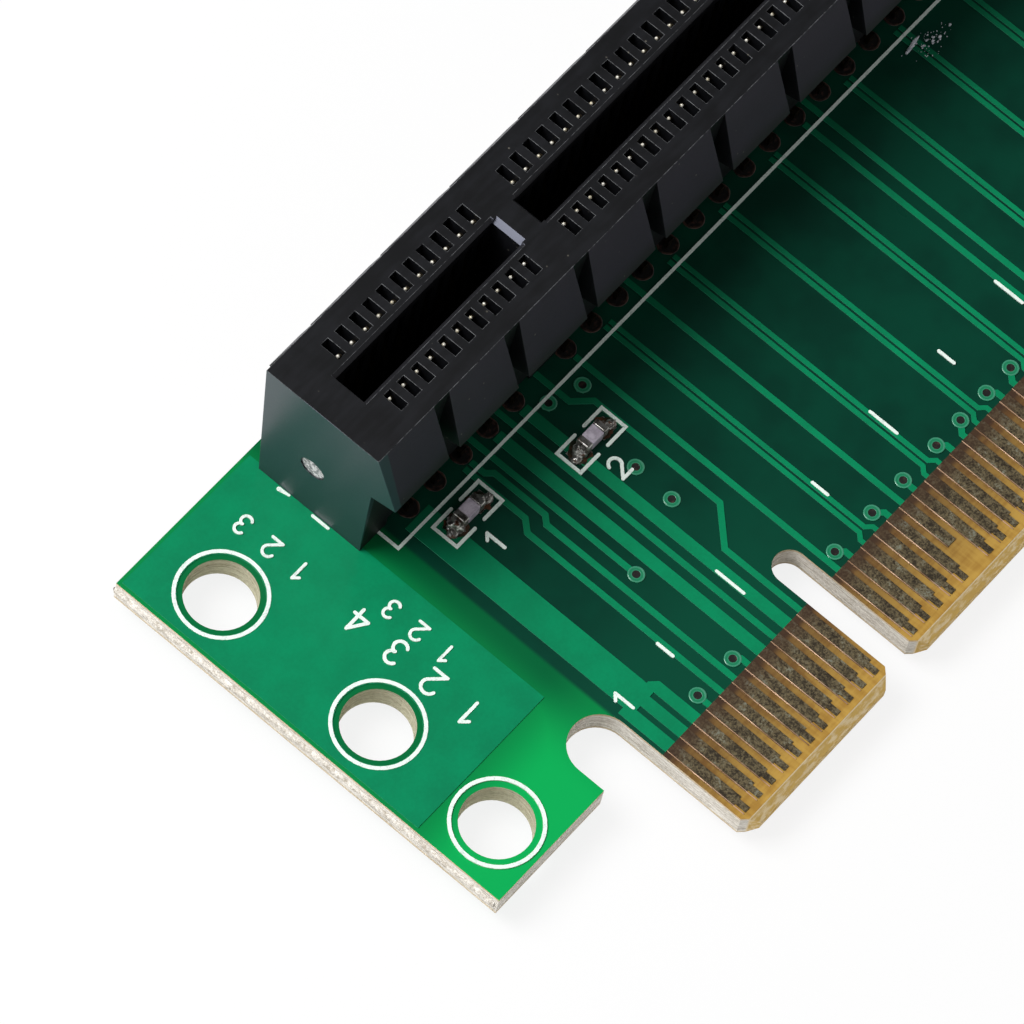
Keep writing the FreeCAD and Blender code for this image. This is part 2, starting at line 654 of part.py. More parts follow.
def make_gate_mark():
    """The shallow round mark that the moulding gate leaves on the end nearest the tab."""
    lean = HOUSING_END_DRAFT * (1 - GATE_MARK_HEIGHT / HOUSING_HEIGHT)
    mark = faceted_round(0, 0, GATE_MARK_RADIUS, -GATE_MARK_DEPTH, HOUSING_END_DRAFT)
    mark.rotate(FreeCAD.Vector(), FreeCAD.Vector(0, 1, 0), -90)
    centre_y = SLOT_CENTRE_Y + GATE_MARK_ASIDE
    mark.translate(FreeCAD.Vector(HOUSING_LEFT + lean, centre_y, RUN_TOP + GATE_MARK_HEIGHT))
    return mark


def make_housing():
    front_panels = make_panels(FRONT, FRONT_PANEL_FLARE, 0)
    rear_panels = make_panels(REAR, REAR_PANEL_FLARE, REAR_PANEL_INSET)
    peg_length = RUN_TOP - PEG_SHORT_OF_UNDERSIDE
    pegs = []
    for x in peg_places():
        pegs.append(faceted_round(x, SLOT_CENTRE_Y, PEG_RADIUS, PEG_SHORT_OF_UNDERSIDE, peg_length))
    body = drafted_block(HOUSING_FOOT_WIDTH, HOUSING_TOP_WIDTH)
    housing = body.fuse([front_panels, rear_panels] + pegs).removeSplitter()
    return housing.cut(slot_cuts() + channel_cuts() + underside_cuts() + [make_gate_mark()])


# ---- Spring contacts: strips that bow into the slot, run out to their tail row and through the board ----
def spring_path(row):
    """The strip's centre line, as distances out from the slot's centre line and heights."""
    tip = (CHANNEL_INNER + SPRING_TIP_FROM_RIM, HOUSING_TOP - SPRING_TIP_BELOW_TOP)
    bow = (SLOT_WIDTH / 2 - SPRING_BOW_INTO_SLOT, HOUSING_TOP - SPRING_BOW_BELOW_TOP)
    if row == INNER_TAIL_ROW:
        return [tip, bow, (row, RUN_TOP + INNER_HEEL_HEIGHT), (row, -TAIL_BELOW_BOARD)]
    heel_level = RUN_TOP + OUTER_HEEL_HEIGHT
    heel = (CHANNEL_OUTER - OUTER_HEEL_FROM_CHANNEL_END, heel_level)
    return [tip, bow, heel, (row, heel_level), (row, -TAIL_BELOW_BOARD)]


def make_springs(contacts, row, side):
    section = [(SLOT_CENTRE_Y + side * out, z) for out, z in band(spring_path(row), SPRING_THICKNESS)]
    return [bar(section, span(contact_x(number), SPRING_WIDTH)) for number in contacts]


# ---- White print: rings round the screw holes, the slot's outline, capacitor brackets and contact ticks ----
def make_rings():
    inner_radius = SCREW_HOLE_RADIUS + RING_FROM_HOLE
    rings = []
    for y in SCREW_HOLE_ROWS:
        disc = faceted_round(SCREW_HOLE_X, y, inner_radius + RING_WIDTH, RUN_TOP, INK_THICKNESS, RING_SIDES)
        opening = faceted_round(SCREW_HOLE_X, y, inner_radius, RUN_TOP, INK_THICKNESS, RING_SIDES)
        rings.append(disc.cut(opening))
    return rings


def make_slot_outline():
    """A line in front of the slot that turns in beside the housing at both ends."""
    left = contact_x(1) - OUTLINE_MARGIN
    right = contact_x(CONTACT_COUNT) + OUTLINE_MARGIN
    front = SLOT_CENTRE_Y - OUTLINE_BEFORE_SLOT
    back = SLOT_CENTRE_Y - HOUSING_FOOT_WIDTH / 2
    line = [(left, back), (left, front), (right, front), (right, back)]
    return plate(band(line, OUTLINE_WIDTH), RUN_TOP, INK_THICKNESS)


def make_brackets():
    """Two facing brackets round each capacitor."""
    along = CAPACITOR_LENGTH / 2 + PAD_BEYOND_TERMINAL + BRACKET_MARGIN + BRACKET_WIDTH / 2
    across = CAPACITOR_WIDTH / 2 + PAD_MARGIN + BRACKET_MARGIN + BRACKET_WIDTH / 2
    brackets = []
    for place in CAPACITOR_PLACES:
        x, y = capacitor_centre(place)
        for side in (-1, 1):
            inner = x + side * BRACKET_OPENING / 2
            outer = x + side * along
            line = [(inner, y - across), (outer, y - across), (outer, y + across), (inner, y + across)]
            brackets.append(plate(band(line, BRACKET_WIDTH), RUN_TOP, INK_THICKNESS))
    return brackets


def make_ticks():
    """A short line at every fifth contact and a longer one at every tenth."""
    ticks = []
    for number in range(5, CONTACT_COUNT, 5):
        length = FIFTH_TICK_LENGTH if number % 10 else TENTH_TICK_LENGTH
        x_span = span(contact_x(number) - TICK_WIDTH, TICK_WIDTH)
        y_span = span(FINGER_TOP + TICK_FROM_FINGERS, length)
        ticks.append(block(x_span, y_span, (RUN_TOP, RUN_TOP + INK_THICKNESS)))
    return ticks


os.makedirs("parts", exist_ok=True)
save("board_laminate", [make_board()])
save("front_fingers_short_tongue", make_front_fingers(SHORT_TONGUE_CONTACTS))
save("front_fingers_long_tongue", make_front_fingers(LONG_TONGUE_CONTACTS))
save("rear_fingers_short_tongue", make_rear_fingers(SHORT_TONGUE_CONTACTS))
save("rear_fingers_long_tongue", make_rear_fingers(LONG_TONGUE_CONTACTS))

for position, place in enumerate(CAPACITOR_PLACES, start=1):
    centre = capacitor_centre(place)
    prefix = "capacitor_%d_" % position
    save(prefix + "pads", make_pads(centre))
    save(prefix + "body", [make_capacitor_body(centre)])
    save(prefix + "terminals", make_terminals(centre))
    save(prefix + "solder", make_solder(centre))

save("supply_runs", make_supply_runs())
save("signal_runs", make_signal_runs())
save("pair_runs", make_pair_runs())
save("ground_stubs", make_ground_stubs())
save("lone_vias", make_lone_vias())
save("tab_pour", [make_tab_pour()])

save("slot_housing", [make_housing()])
save("front_springs_inner", make_springs(INNER_ROW_CONTACTS, INNER_TAIL_ROW, FRONT))
save("front_springs_outer", make_springs(OUTER_ROW_CONTACTS, OUTER_TAIL_ROW, FRONT))
save("rear_springs_inner", make_springs(INNER_ROW_CONTACTS, INNER_TAIL_ROW, REAR))
save("rear_springs_outer", make_springs(OUTER_ROW_CONTACTS, OUTER_TAIL_ROW, REAR))

save("hole_rings", make_rings())
save("slot_outline_print", [make_slot_outline()])
save("capacitor_bracket_print", make_brackets())
save("contact_tick_print", make_ticks())
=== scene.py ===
import math
import random

import bpy
from mathutils import Matrix, Vector, noise


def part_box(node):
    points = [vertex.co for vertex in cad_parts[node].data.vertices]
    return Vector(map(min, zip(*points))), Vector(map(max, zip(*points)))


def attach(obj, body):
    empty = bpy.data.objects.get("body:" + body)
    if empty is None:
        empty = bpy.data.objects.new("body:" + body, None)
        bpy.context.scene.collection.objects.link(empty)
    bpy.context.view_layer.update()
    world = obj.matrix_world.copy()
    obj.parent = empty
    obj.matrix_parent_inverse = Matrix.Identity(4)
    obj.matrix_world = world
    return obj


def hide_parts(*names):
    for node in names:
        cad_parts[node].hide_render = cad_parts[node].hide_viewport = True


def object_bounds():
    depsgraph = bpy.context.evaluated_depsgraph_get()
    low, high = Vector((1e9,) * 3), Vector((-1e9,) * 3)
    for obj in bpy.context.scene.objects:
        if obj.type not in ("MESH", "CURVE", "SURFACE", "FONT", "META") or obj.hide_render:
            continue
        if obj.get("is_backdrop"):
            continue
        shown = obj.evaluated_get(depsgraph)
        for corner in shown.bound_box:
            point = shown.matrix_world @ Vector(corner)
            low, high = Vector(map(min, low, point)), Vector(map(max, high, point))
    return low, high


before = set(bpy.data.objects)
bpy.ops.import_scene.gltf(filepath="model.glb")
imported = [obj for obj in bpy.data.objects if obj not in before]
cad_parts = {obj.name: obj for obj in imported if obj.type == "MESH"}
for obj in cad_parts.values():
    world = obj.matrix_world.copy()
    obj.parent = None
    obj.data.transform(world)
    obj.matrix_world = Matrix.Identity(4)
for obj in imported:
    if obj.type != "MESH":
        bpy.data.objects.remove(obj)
cad_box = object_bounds()


# ---- Board ----
# One routed panel of glass-epoxy laminate. Both faces are covered by green lacquer down to the fingers, where
# the bare amber epoxy shows its weave. An inner copper plane darkens the lacquer everywhere but on the tab.
MM = 0.001


class Wire:
    """A node's output. Arithmetic on it adds Math nodes, and node() adds any other node."""

    def __init__(self, tree, socket=None):
        self.tree = tree
        self.socket = socket

    def node(self, kind, settings=(), inputs=(), output=0):
        made = self.tree.nodes.new("ShaderNode" + kind)
        for name, value in dict(settings).items():
            setattr(made, name, value)
        for name, value in dict(inputs).items():
            if isinstance(value, Wire):
                self.tree.links.new(value.socket, made.inputs[name])
            else:
                made.inputs[name].default_value = value
        return Wire(self.tree, made.outputs[output])

    def math(self, operation, *values):
        return self.node("Math", {"operation": operation}, enumerate(values))

    def __add__(self, other):
        return self.math("ADD", self, other)

    def __radd__(self, other):
        return self.math("ADD", other, self)

    def __sub__(self, other):
        return self.math("SUBTRACT", self, other)

    def __rsub__(self, other):
        return self.math("SUBTRACT", other, self)

    def __mul__(self, other):
        return self.math("MULTIPLY", self, other)

    def __rmul__(self, other):
        return self.math("MULTIPLY", other, self)

    def size(self):
        """The value without its sign."""
        return self.math("ABSOLUTE", self)

    def over(self, other):
        """The larger of two values."""
        return self.math("MAXIMUM", self, other)

    def under(self, other):
        """The smaller of two values."""
        return self.math("MINIMUM", self, other)

    def rise(self, start, end):
        """0 below the start and 1 beyond the end, with a smooth climb between them."""
        ends = {"Value": self, "From Min": start, "From Max": end}
        return self.node("MapRange", {"interpolation_type": "SMOOTHSTEP"}, ends)

    def within(self, start, end, edge):
        """1 between the start and the end, 0 outside them."""
        return self.rise(start - edge, start + edge) * (1 - self.rise(end - edge, end + edge))

    def mix(self, first, second):
        """The first colour where this value is 0, the second where it is 1."""
        return self.node("Mix", {"data_type": "RGBA"}, {0: self, 6: first, 7: second}, output=2)

    def stretched(self, x, y, z):
        """A place scaled along each axis."""
        return self.node("VectorMath", {"operation": "MULTIPLY"}, {0: self, 1: (x, y, z)})

    def grain(self, scale, detail=2.0, roughness=0.5):
        """Noise at a place, with about this many features to the millimetre."""
        inputs = {"Vector": self, "Scale": scale, "Detail": detail, "Roughness": roughness}
        return self.node("TexNoise", {}, inputs)

    def specks(self, scale):
        """The distance from a place to the nearest of a random scatter of points."""
        return self.node("TexVoronoi", {}, {"Vector": self, "Scale": scale})

    def distance(self, other):
        """How far this place is from another."""
        return self.node("VectorMath", {"operation": "DISTANCE"}, {0: self, 1: other}, output="Value")

    def parts(self):
        """The three components of a place or a direction."""
        return [self.node("SeparateXYZ", {}, {0: self}, output=axis) for axis in range(3)]

    def bump(self, strength, distance):
        """A normal from this height. The distance is in millimetres."""
        return self.node("Bump", {}, {"Height": self, "Strength": strength, "Distance": distance * MM})

    def show(self):
        """Makes this shader the material's surface."""
        output = self.tree.nodes.new("ShaderNodeOutputMaterial")
        self.tree.links.new(self.socket, output.inputs["Surface"])

    def surface(self, **inputs):
        """The finished surface. The inputs are named as the shader's own sockets."""
        named = {name.replace("_", " "): value for name, value in inputs.items()}
        self.node("BsdfPrincipled", {}, named).show()


def new_material(name):
    """A new material, with the wire that its nodes are added from."""
    made = bpy.data.materials.new(name)
    made.use_nodes = True
    made.node_tree.nodes.clear()
    return made, Wire(made.node_tree)


def place_in_mm(start):
    """The place on the object, in millimetres."""
    return start.node("TexCoord", {}, {}, output="Object").stretched(1 / MM, 1 / MM, 1 / MM)


def facing(start):
    """The direction that the surface faces."""
    return start.node("NewGeometry", {}, {}, output="Normal")


def colour(red, green, blue):
    """A colour in the usual 0 to 255 steps, as the linear values of a shader."""
    steps = [step / 255 for step in (red, green, blue)]
    linear = [step / 12.92 if step <= 0.04045 else ((step + 0.055) / 1.055) ** 2.4 for step in steps]
    return (*linear, 1.0)


def dress(node, material):
    """Gives a CAD piece its finish."""
    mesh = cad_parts[node].data
    mesh.materials.clear()
    mesh.materials.append(material)


def edges(node):
    """A CAD piece's outer levels in millimetres: left, near, low, right, far and high."""
    low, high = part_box(node)
    return [level / MM for level in (*low, *high)]


def islands(node):
    """The corner points of each separate solid in a CAD piece, in millimetres, from left to right."""
    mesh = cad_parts[node].data
    leader = {}

    def head(key):
        while leader[key] != key:
            leader[key] = leader[leader[key]]
            key = leader[key]
        return key

    keys = [tuple(round(level / MM, 3) for level in vertex.co) for vertex in mesh.vertices]
    for key in keys:
        leader.setdefault(key, key)
    for polygon in mesh.polygons:
        first = head(keys[polygon.vertices[0]])
        for index in polygon.vertices[1:]:
            leader[head(keys[index])] = first
    groups = {}
    for key in leader:
        groups.setdefault(head(key), []).append(Vector(key))
    return sorted(groups.values(), key=lambda group: min(point.x for point in group))


def extent(group, axis):
    """The lowest and the highest of a solid's points along one axis."""
    levels = [point[axis] for point in group]
    return min(levels), max(levels)


def middle(group):
    """The middle of a solid in plan."""
    return sum(extent(group, 0)) / 2, sum(extent(group, 1)) / 2


BOARD_LEFT, _, _, BOARD_RIGHT, BOARD_FAR, BOARD_TOP = edges("board_laminate")
HOLE_X = middle(islands("hole_rings")[0])[0]
HOLE_ROWS = sorted(middle(ring)[1] for ring in islands("hole_rings"))
HOLE_RADIUS = 1.90
FINGER_LINE = edges("front_fingers_long_tongue")[4]
POUR_NEAR = edges("tab_pour")[1]
PLANE_LEFT = edges("front_fingers_short_tongue")[0] - 0.30
PLANE_NEAR = FINGER_LINE - 0.45
BEVEL = 0.45
BRIGHT_LACQUER = colour(6, 166, 82)
SHADED_LACQUER = colour(2, 94, 52)
PLANE_LACQUER = colour(6, 62, 46)
PLANE_LACQUER_DEEP = colour(5, 53, 40)
# painted light: the plane's lacquer where more light falls, towards the tab
PLANE_LACQUER_LIT = colour(8, 70, 51)
EPOXY = colour(188, 150, 70)
EPOXY_DARK = colour(166, 126, 54)
EPOXY_DEEP = colour(112, 84, 46)
EPOXY_DEEP_DARK = colour(88, 60, 36)
EPOXY_BEVEL = colour(208, 172, 98)
EPOXY_BEVEL_PALE = colour(240, 224, 190)
EPOXY_BESIDE_PLANE = colour(58, 42, 34)
GLASS = colour(246, 241, 232)
GLASS_DARK = colour(178, 168, 152)
GLASS_AMBER = colour(206, 176, 122)
DRILLED = colour(222, 218, 194)
DRILLED_DARK = colour(164, 154, 122)
LACQUER_SPECULAR = 0.16
LACQUER_COAT = 0.06
LACQUER_COAT_ROUGHNESS = 0.15


def board_material():
    made, start = new_material("board_laminate")
    place = place_in_mm(start)
    x, y, z = place.parts()
    _, _, up = facing(start).parts()
    flat = up.size().rise(0.80, 0.95)

    # the bare laminate under the lacquer lets light through, least near the plane and beside the tab's copper
    beside_pour = 0.6 + y.rise(POUR_NEAR - 3.0, POUR_NEAR + 1.0) * 0.4
    near_plane = x.rise(PLANE_LEFT - 4.4, PLANE_LEFT - 0.4) * beside_pour
    near_pour = y.rise(POUR_NEAR - 2.6, POUR_NEAR + 0.4) * 0.60
    from_holes = [place.stretched(1, 1, 0).distance((HOLE_X, row, 0)) for row in HOLE_ROWS]
    in_pour = 1 - from_holes[1].under(from_holes[2]).rise(HOLE_RADIUS + 0.36, HOLE_RADIUS + 0.44)
    clouds = place.grain(0.35, 3.0)
    tab = near_plane.over(near_pour).over(in_pour * 0.9).mix(BRIGHT_LACQUER, SHADED_LACQUER)
    # painted light: the plane's lacquer is painted paler towards the tab and the fingers, where more light
    # falls
    lit_near_tab = (1 - x.rise(-4, 8)) * (1 - y.rise(8, 15))
    plane = lit_near_tab.mix(clouds.rise(0.35, 0.70).mix(PLANE_LACQUER, PLANE_LACQUER_DEEP), PLANE_LACQUER_LIT)
    lacquer = x.rise(PLANE_LEFT - 0.22, PLANE_LEFT + 0.06).mix(tab, plane)

    # woven glass cloth: threads both ways, about three to the millimetre
    warp = place.stretched(3.4, 0.4, 1.0).grain(1.0, 2.0)
    weft = place.stretched(0.4, 3.4, 1.0).grain(1.0, 2.0)
    cloth = (warp + weft) * 0.5
    pale = cloth.rise(0.34, 0.60).mix(EPOXY_DARK, EPOXY)
    deep = cloth.rise(0.34, 0.60).mix(EPOXY_DEEP_DARK, EPOXY_DEEP)
    epoxy = y.rise(-0.6, PLANE_NEAR + 0.6).mix(pale, deep)
    bare = (y.rise(PLANE_NEAR - 0.30, PLANE_NEAR + 0.16) * 0.85).mix(epoxy, EPOXY_BESIDE_PLANE)
    face = y.rise(FINGER_LINE - 0.03, FINGER_LINE + 0.03).mix(bare, lacquer)

    # the routed sides and the bevel show the cut glass in thin layers
    layers = place.stretched(0.6, 0.6, 9.0).grain(1.2, 4.0, 0.7)
    strands = place.stretched(3.0, 3.0, 16.0).grain(2.0, 3.0, 0.6)
    cut = (layers * 0.55 + strands * 0.45).rise(0.36, 0.60)
    amber_layer = z.within(0.02, 0.16, 0.05).over(z.within(1.42, 1.60, 0.05)) * 0.6
    from_hole = from_holes[0].under(from_holes[1]).under(from_holes[2])
    drilled = 1 - from_hole.rise(HOLE_RADIUS + 0.05, HOLE_RADIUS + 0.10)
    side = amber_layer.mix(cut.mix(GLASS_DARK, GLASS), GLASS_AMBER)
    side = drilled.mix(side, cut.mix(DRILLED_DARK, DRILLED))
    blotches = place.stretched(1.0, 3.0, 3.0).grain(1.3, 4.0, 0.65).rise(0.44, 0.62)
    lit_edge = y.within(BEVEL - 0.05, BEVEL + 0.05, 0.02) * 0.8
    bevel = (blotches * 0.6).over(lit_edge).mix(EPOXY_BEVEL, EPOXY_BEVEL_PALE)
    side = (1 - y.rise(BEVEL - 0.02, BEVEL + 0.02)).mix(side, bevel)

    gloss = flat * y.rise(FINGER_LINE - 0.03, FINGER_LINE + 0.03)
    start.surface(
        Base_Color=flat.mix(side, face),
        Roughness=0.85 - flat * 0.30 - gloss * 0.25 + (clouds - 0.5) * 0.10,
        Specular_IOR_Level=LACQUER_SPECULAR,
        Coat_Weight=gloss * LACQUER_COAT,
        Coat_Roughness=LACQUER_COAT_ROUGHNESS,
        Normal=(cloth * flat * 0.5 + cut * (1 - flat)).bump(0.35, 0.03),
    )
    return made


dress("board_laminate", board_material())


# ---- Scored edges ----
# The board was snapped out of a bigger panel along two scored lines, at the tab's side and at the far edge.
# The torn web of glass and epoxy stands out a little from the middle of both edges.
WEB_STEP = 0.12
WEB_REACH = 0.10
WEB_ROOT = -0.05                # the web's upper and lower lines lie this far inside the board
WEB_PROFILE = ((0.42, 0), (0.62, 0.8), (0.78, 1.0), (0.96, 0.7), (1.15, 0))     # (height, share of the reach)


def rough_material(name, dark, light, scale, roughness, height):
    """A rough mineral finish that wanders between two colours."""
    made, start = new_material(name)
    place = place_in_mm(start)
    coarse = place.grain(scale, 4.0, 0.65)
    fine = place.grain(scale * 5, 3.0)
    start.surface(
        Base_Color=(coarse * 0.6 + fine * 0.4).rise(0.36, 0.62).mix(dark, light),
        Roughness=roughness + (fine - 0.5) * 0.2,
        Normal=(coarse + fine * 0.6).bump(0.6, height),
    )
    return made


def new_piece(name, points, faces, material, smooth=True):
    """A piece of the scene's own, from points in millimetres, that belongs to the object."""
    mesh = bpy.data.meshes.new(name)
    mesh.from_pydata([Vector(point) * MM for point in points], [], faces)
    mesh.materials.append(material)
    for polygon in mesh.polygons:
        polygon.use_smooth = smooth
    piece = bpy.data.objects.new(name, mesh)
    bpy.context.scene.collection.objects.link(piece)
    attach(piece, "root")
    return piece


def torn_edge(points, faces, start, end, outward):
    """A ragged web along one edge of the board; its inner side lies just inside the board."""
    start = Vector(start)
    end = Vector(end)
    outward = Vector(outward)
    steps = round((end - start).length / WEB_STEP)
    for step in range(steps + 1):
        base = start.lerp(end, step / steps)
        ring = len(points)
        for height, share in WEB_PROFILE:
            wander = noise.noise(Vector((base.x, base.y, height)) * 2.3)
            tear = noise.noise(Vector((base.x, base.y, height * 3)) * 9.0)
            out = WEB_REACH * share * (1 + 0.5 * wander + 0.7 * tear) if share else WEB_ROOT
            points.append(base + outward * out + Vector((0, 0, height + 0.04 * tear)))
        if step:
            before = ring - len(WEB_PROFILE)
            for line in range(len(WEB_PROFILE) - 1):
                faces.append((before + line, ring + line, ring + line + 1, before + line + 1))


def make_torn_edges():
    points = []
    faces = []
    near = edges("hole_rings")[1]
    torn_edge(points, faces, (BOARD_LEFT, BOARD_FAR, 0), (BOARD_LEFT, near, 0), (-1, 0, 0))
    torn_edge(points, faces, (BOARD_RIGHT, BOARD_FAR, 0), (BOARD_LEFT, BOARD_FAR, 0), (0, 1, 0))
    finish = rough_material("torn_laminate", GLASS_DARK, GLASS, 2.0, 0.9, 0.05)
    new_piece("torn_edges", points, faces, finish)


make_torn_edges()


# ---- Copper runs ----
# Etched copper under the same green lacquer, which looks lighter over the metal; the runs' sides carry a
# painted highlight.
# The tab's field, the supply comb, the single and paired runs and the ground stubs are all one etched layer.
RUN_LACQUER = colour(3, 134, 88)
RUN_LACQUER_DULL = colour(2, 122, 80)
# painted highlight: the pale colour of the runs' sides
RUN_FLANK_HIGHLIGHT = colour(58, 158, 120)
RUN_BY_SLOT = colour(1, 92, 62)         # where the tall slot takes the light away
SHADE_FROM, SHADE_TO = 16.0, 22.0       # that shade grows towards the slot
RUNS = ("supply_runs", "signal_runs", "pair_runs", "ground_stubs", "lone_vias", "tab_pour")


def run_material():
    made, start = new_material("lacquered_copper")
    place = place_in_mm(start)
    x, y, _ = place.parts()
    _, _, up = facing(start).parts()
    clouds = place.grain(0.5, 3.0)
    fine = place.grain(6.0, 2.0)
    face = (clouds * 0.7 + fine * 0.3).rise(0.30, 0.70).mix(RUN_LACQUER, RUN_LACQUER_DULL)
    shade = y.rise(SHADE_FROM, SHADE_TO) * x.rise(PLANE_LEFT - 1.375, PLANE_LEFT + 0.625)
    face = (shade * 0.8).mix(face, RUN_BY_SLOT)
    start.surface(
        Base_Color=up.rise(0.5, 0.9).mix(RUN_FLANK_HIGHLIGHT, face),
        Roughness=0.30 + clouds * 0.12,
        Specular_IOR_Level=LACQUER_SPECULAR,
        Coat_Weight=LACQUER_COAT,
        Coat_Roughness=LACQUER_COAT_ROUGHNESS,
        Normal=(clouds + fine * 0.3).bump(0.15, 0.02),
    )
    return made


run_finish = run_material()
for node in RUNS:
    dress(node, run_finish)


# ---- Vias ----
# Drilled and plated holes that take a run to another layer. Lacquer covers the ring of copper round each one
# and sinks a little towards the hole, which is drawn as a flat disc painted dark with the hole's shade.
VIA_RING = 0.45
VIA_HOLE = 0.21
VIA_LIFT = 0.02
VIA_LIP = (
    (VIA_RING, 0), (0.43, VIA_LIFT), (0.385, VIA_LIFT), (0.35, 0.006),
    (0.27, 0.006), (0.235, 0.016), (VIA_HOLE, 0.004),
)
VIA_WELL = ((VIA_HOLE + 0.01, 0.006), (0.12, 0.003), (0.0, 0.001))
VIA_LACQUER = colour(60, 140, 110)
# painted shade: the dark of a hole's depth, painted on a flat disc, with brown patches
HOLE_SHADE = colour(14, 12, 10)
HOLE_BROWN_PATCHES = colour(62, 38, 30)
RUN_TOP = edges("lone_vias")[5]


def add_turned(points, faces, centre, profile, sides=20, wobble=0.0):
    """A form turned about an upright axis, from (radius, height) pairs. A wobble makes it less even."""
    for place, (radius, height) in enumerate(profile):
        ring = len(points)
        for side in range(sides):
            angle = 2 * math.pi * side / sides
            out = Vector((math.cos(angle), math.sin(angle), 0))
            uneven = 1 + wobble * noise.noise((Vector(centre) + out * 0.8) * 2.7)
            points.append(Vector(centre) + out * radius * uneven + Vector((0, 0, height)))
            if place:
                after = (side + 1) % sides
                faces.append((ring - sides + side, ring - sides + after, ring + after, ring + side))


def via_centres():
    """The centres of the lone vias, and of the round pads at the ends of the ground stubs."""
    fingers = islands("front_fingers_short_tongue") + islands("front_fingers_long_tongue")
    finger_centres = [middle(group)[0] for group in fingers]
    for group in islands("lone_vias"):
        yield middle(group)
    for group in islands("ground_stubs"):
        left, right = extent(group, 0)
        finger = min(finger_centres, key=lambda centre: abs(centre - (left + right) / 2))
        pad = left + VIA_RING if finger - left > right - finger else right - VIA_RING
        yield pad, extent(group, 1)[1] - VIA_RING


def via_material():
    made, start = new_material("lacquered_vias")
    place = place_in_mm(start)
    _, _, z = place.parts()
    lip = z.rise(RUN_TOP + 0.002, RUN_TOP + VIA_LIFT)
    start.surface(
        Base_Color=lip.mix(RUN_LACQUER_DULL, VIA_LACQUER),
        Roughness=0.30 + place.grain(5.0) * 0.1,
        Specular_IOR_Level=0.5,
        Coat_Weight=0.4,
        Coat_Roughness=0.1,
    )
    return made


def hole_shade_material():
    # painted shade: a flat dark disc stands in for the shade down inside a hole
    made, start = new_material("painted_hole_shade")
    place = place_in_mm(start)
    start.surface(
        Base_Color=place.grain(4.0, 3.0).rise(0.52, 0.70).mix(HOLE_SHADE, HOLE_BROWN_PATCHES),
        Roughness=0.45 + place.grain(7.0) * 0.2,
    )
    return made


def make_vias():
    rings = ([], [])
    holes = ([], [])
    for x, y in via_centres():
        add_turned(*rings, (x, y, RUN_TOP), VIA_LIP)
        add_turned(*holes, (x, y, RUN_TOP), VIA_WELL)
    new_piece("via_rings", *rings, via_material())
    new_piece("via_hole_shades", *holes, hole_shade_material())


make_vias()


# ---- Gold fingers ----
# Hard gold over nickel on etched copper. The flat faces are painted dark, a painted reflection of the dark
# surroundings in the gold, and speckled with handling. The rounded plating along one side of each finger
# carries a painted highlight.
FINGERS = (
    "front_fingers_short_tongue", "front_fingers_long_tongue",
    "rear_fingers_short_tongue", "rear_fingers_long_tongue",
)
# painted reflection: the finger colours stand for the dark surroundings mirrored in the gold
FINGER_DARK_REFLECTION = colour(56, 48, 36)
FINGER_MID_REFLECTION = colour(124, 111, 82)
FINGER_GREY_REFLECTION = colour(140, 142, 126)
FINGER_REFLECTION_BY_LACQUER = colour(78, 56, 40)
# painted highlight: the rim colours stand for the light caught along each finger's rounded side
FINGER_RIM_HIGHLIGHT = colour(226, 184, 152)
FINGER_RIM_HIGHLIGHT_DULL = colour(150, 112, 80)
RIM_SECTION = ((-0.004, -0.02), (0.025, 0.012), (0.05, 0))     # (in from the finger's side, up from its face)


def finger_material():
    made, start = new_material("plated_gold")
    place = place_in_mm(start)
    _, y, _ = place.parts()
    patches = place.stretched(1.0, 0.8, 1.0).grain(1.6, 4.0, 0.65)
    speckle = place.grain(9.0, 3.0, 0.7)
    reflection_mottle_and_wear = patches * 0.4 + speckle * 0.6
    face = reflection_mottle_and_wear.rise(0.40, 0.60).mix(FINGER_DARK_REFLECTION, FINGER_MID_REFLECTION)
    face = (patches.rise(0.52, 0.66) * speckle.rise(0.45, 0.60)).mix(face, FINGER_GREY_REFLECTION)
    # painted reflection: browner towards the lacquer
    face = (y.rise(FINGER_LINE - 1.5, FINGER_LINE - 0.2) * 0.7).mix(face, FINGER_REFLECTION_BY_LACQUER)
    start.surface(
        Base_Color=face,
        Metallic=0.35 + patches * 0.25,
        Roughness=0.38 + speckle * 0.25,
        Normal=reflection_mottle_and_wear.bump(0.35, 0.015),
    )
    return made


def rim_highlight_material():
    made, start = new_material("painted_rim_highlights")
    place = place_in_mm(start)
    # painted highlight, in streaks
    streaks = place.stretched(1.0, 0.3, 1.0).grain(2.0, 2.0)
    start.surface(
        Base_Color=streaks.rise(0.30, 0.60).mix(FINGER_RIM_HIGHLIGHT_DULL, FINGER_RIM_HIGHLIGHT),
        Metallic=0.30,
        Roughness=0.35 + place.grain(6.0) * 0.1,
    )
    return made


def make_finger_rims():
    """A narrow half-round bead along the left side of every front finger."""
    points = []
    faces = []
    for group in islands("front_fingers_short_tongue") + islands("front_fingers_long_tongue"):
        left, _ = extent(group, 0)
        near, far = extent(group, 1)
        top = extent(group, 2)[1]
        ring = len(points)
        for y in (near, far):
            points += [(left + inward, y, top + lift) for inward, lift in RIM_SECTION]
        faces += [(ring, ring + 1, ring + 4, ring + 3), (ring + 1, ring + 2, ring + 5, ring + 4)]
        faces += [(ring, ring + 2, ring + 1), (ring + 3, ring + 4, ring + 5)]
    new_piece("finger_rims", points, faces, rim_highlight_material())


finger_finish = finger_material()
for node in FINGERS:
    dress(node, finger_finish)
make_finger_rims()


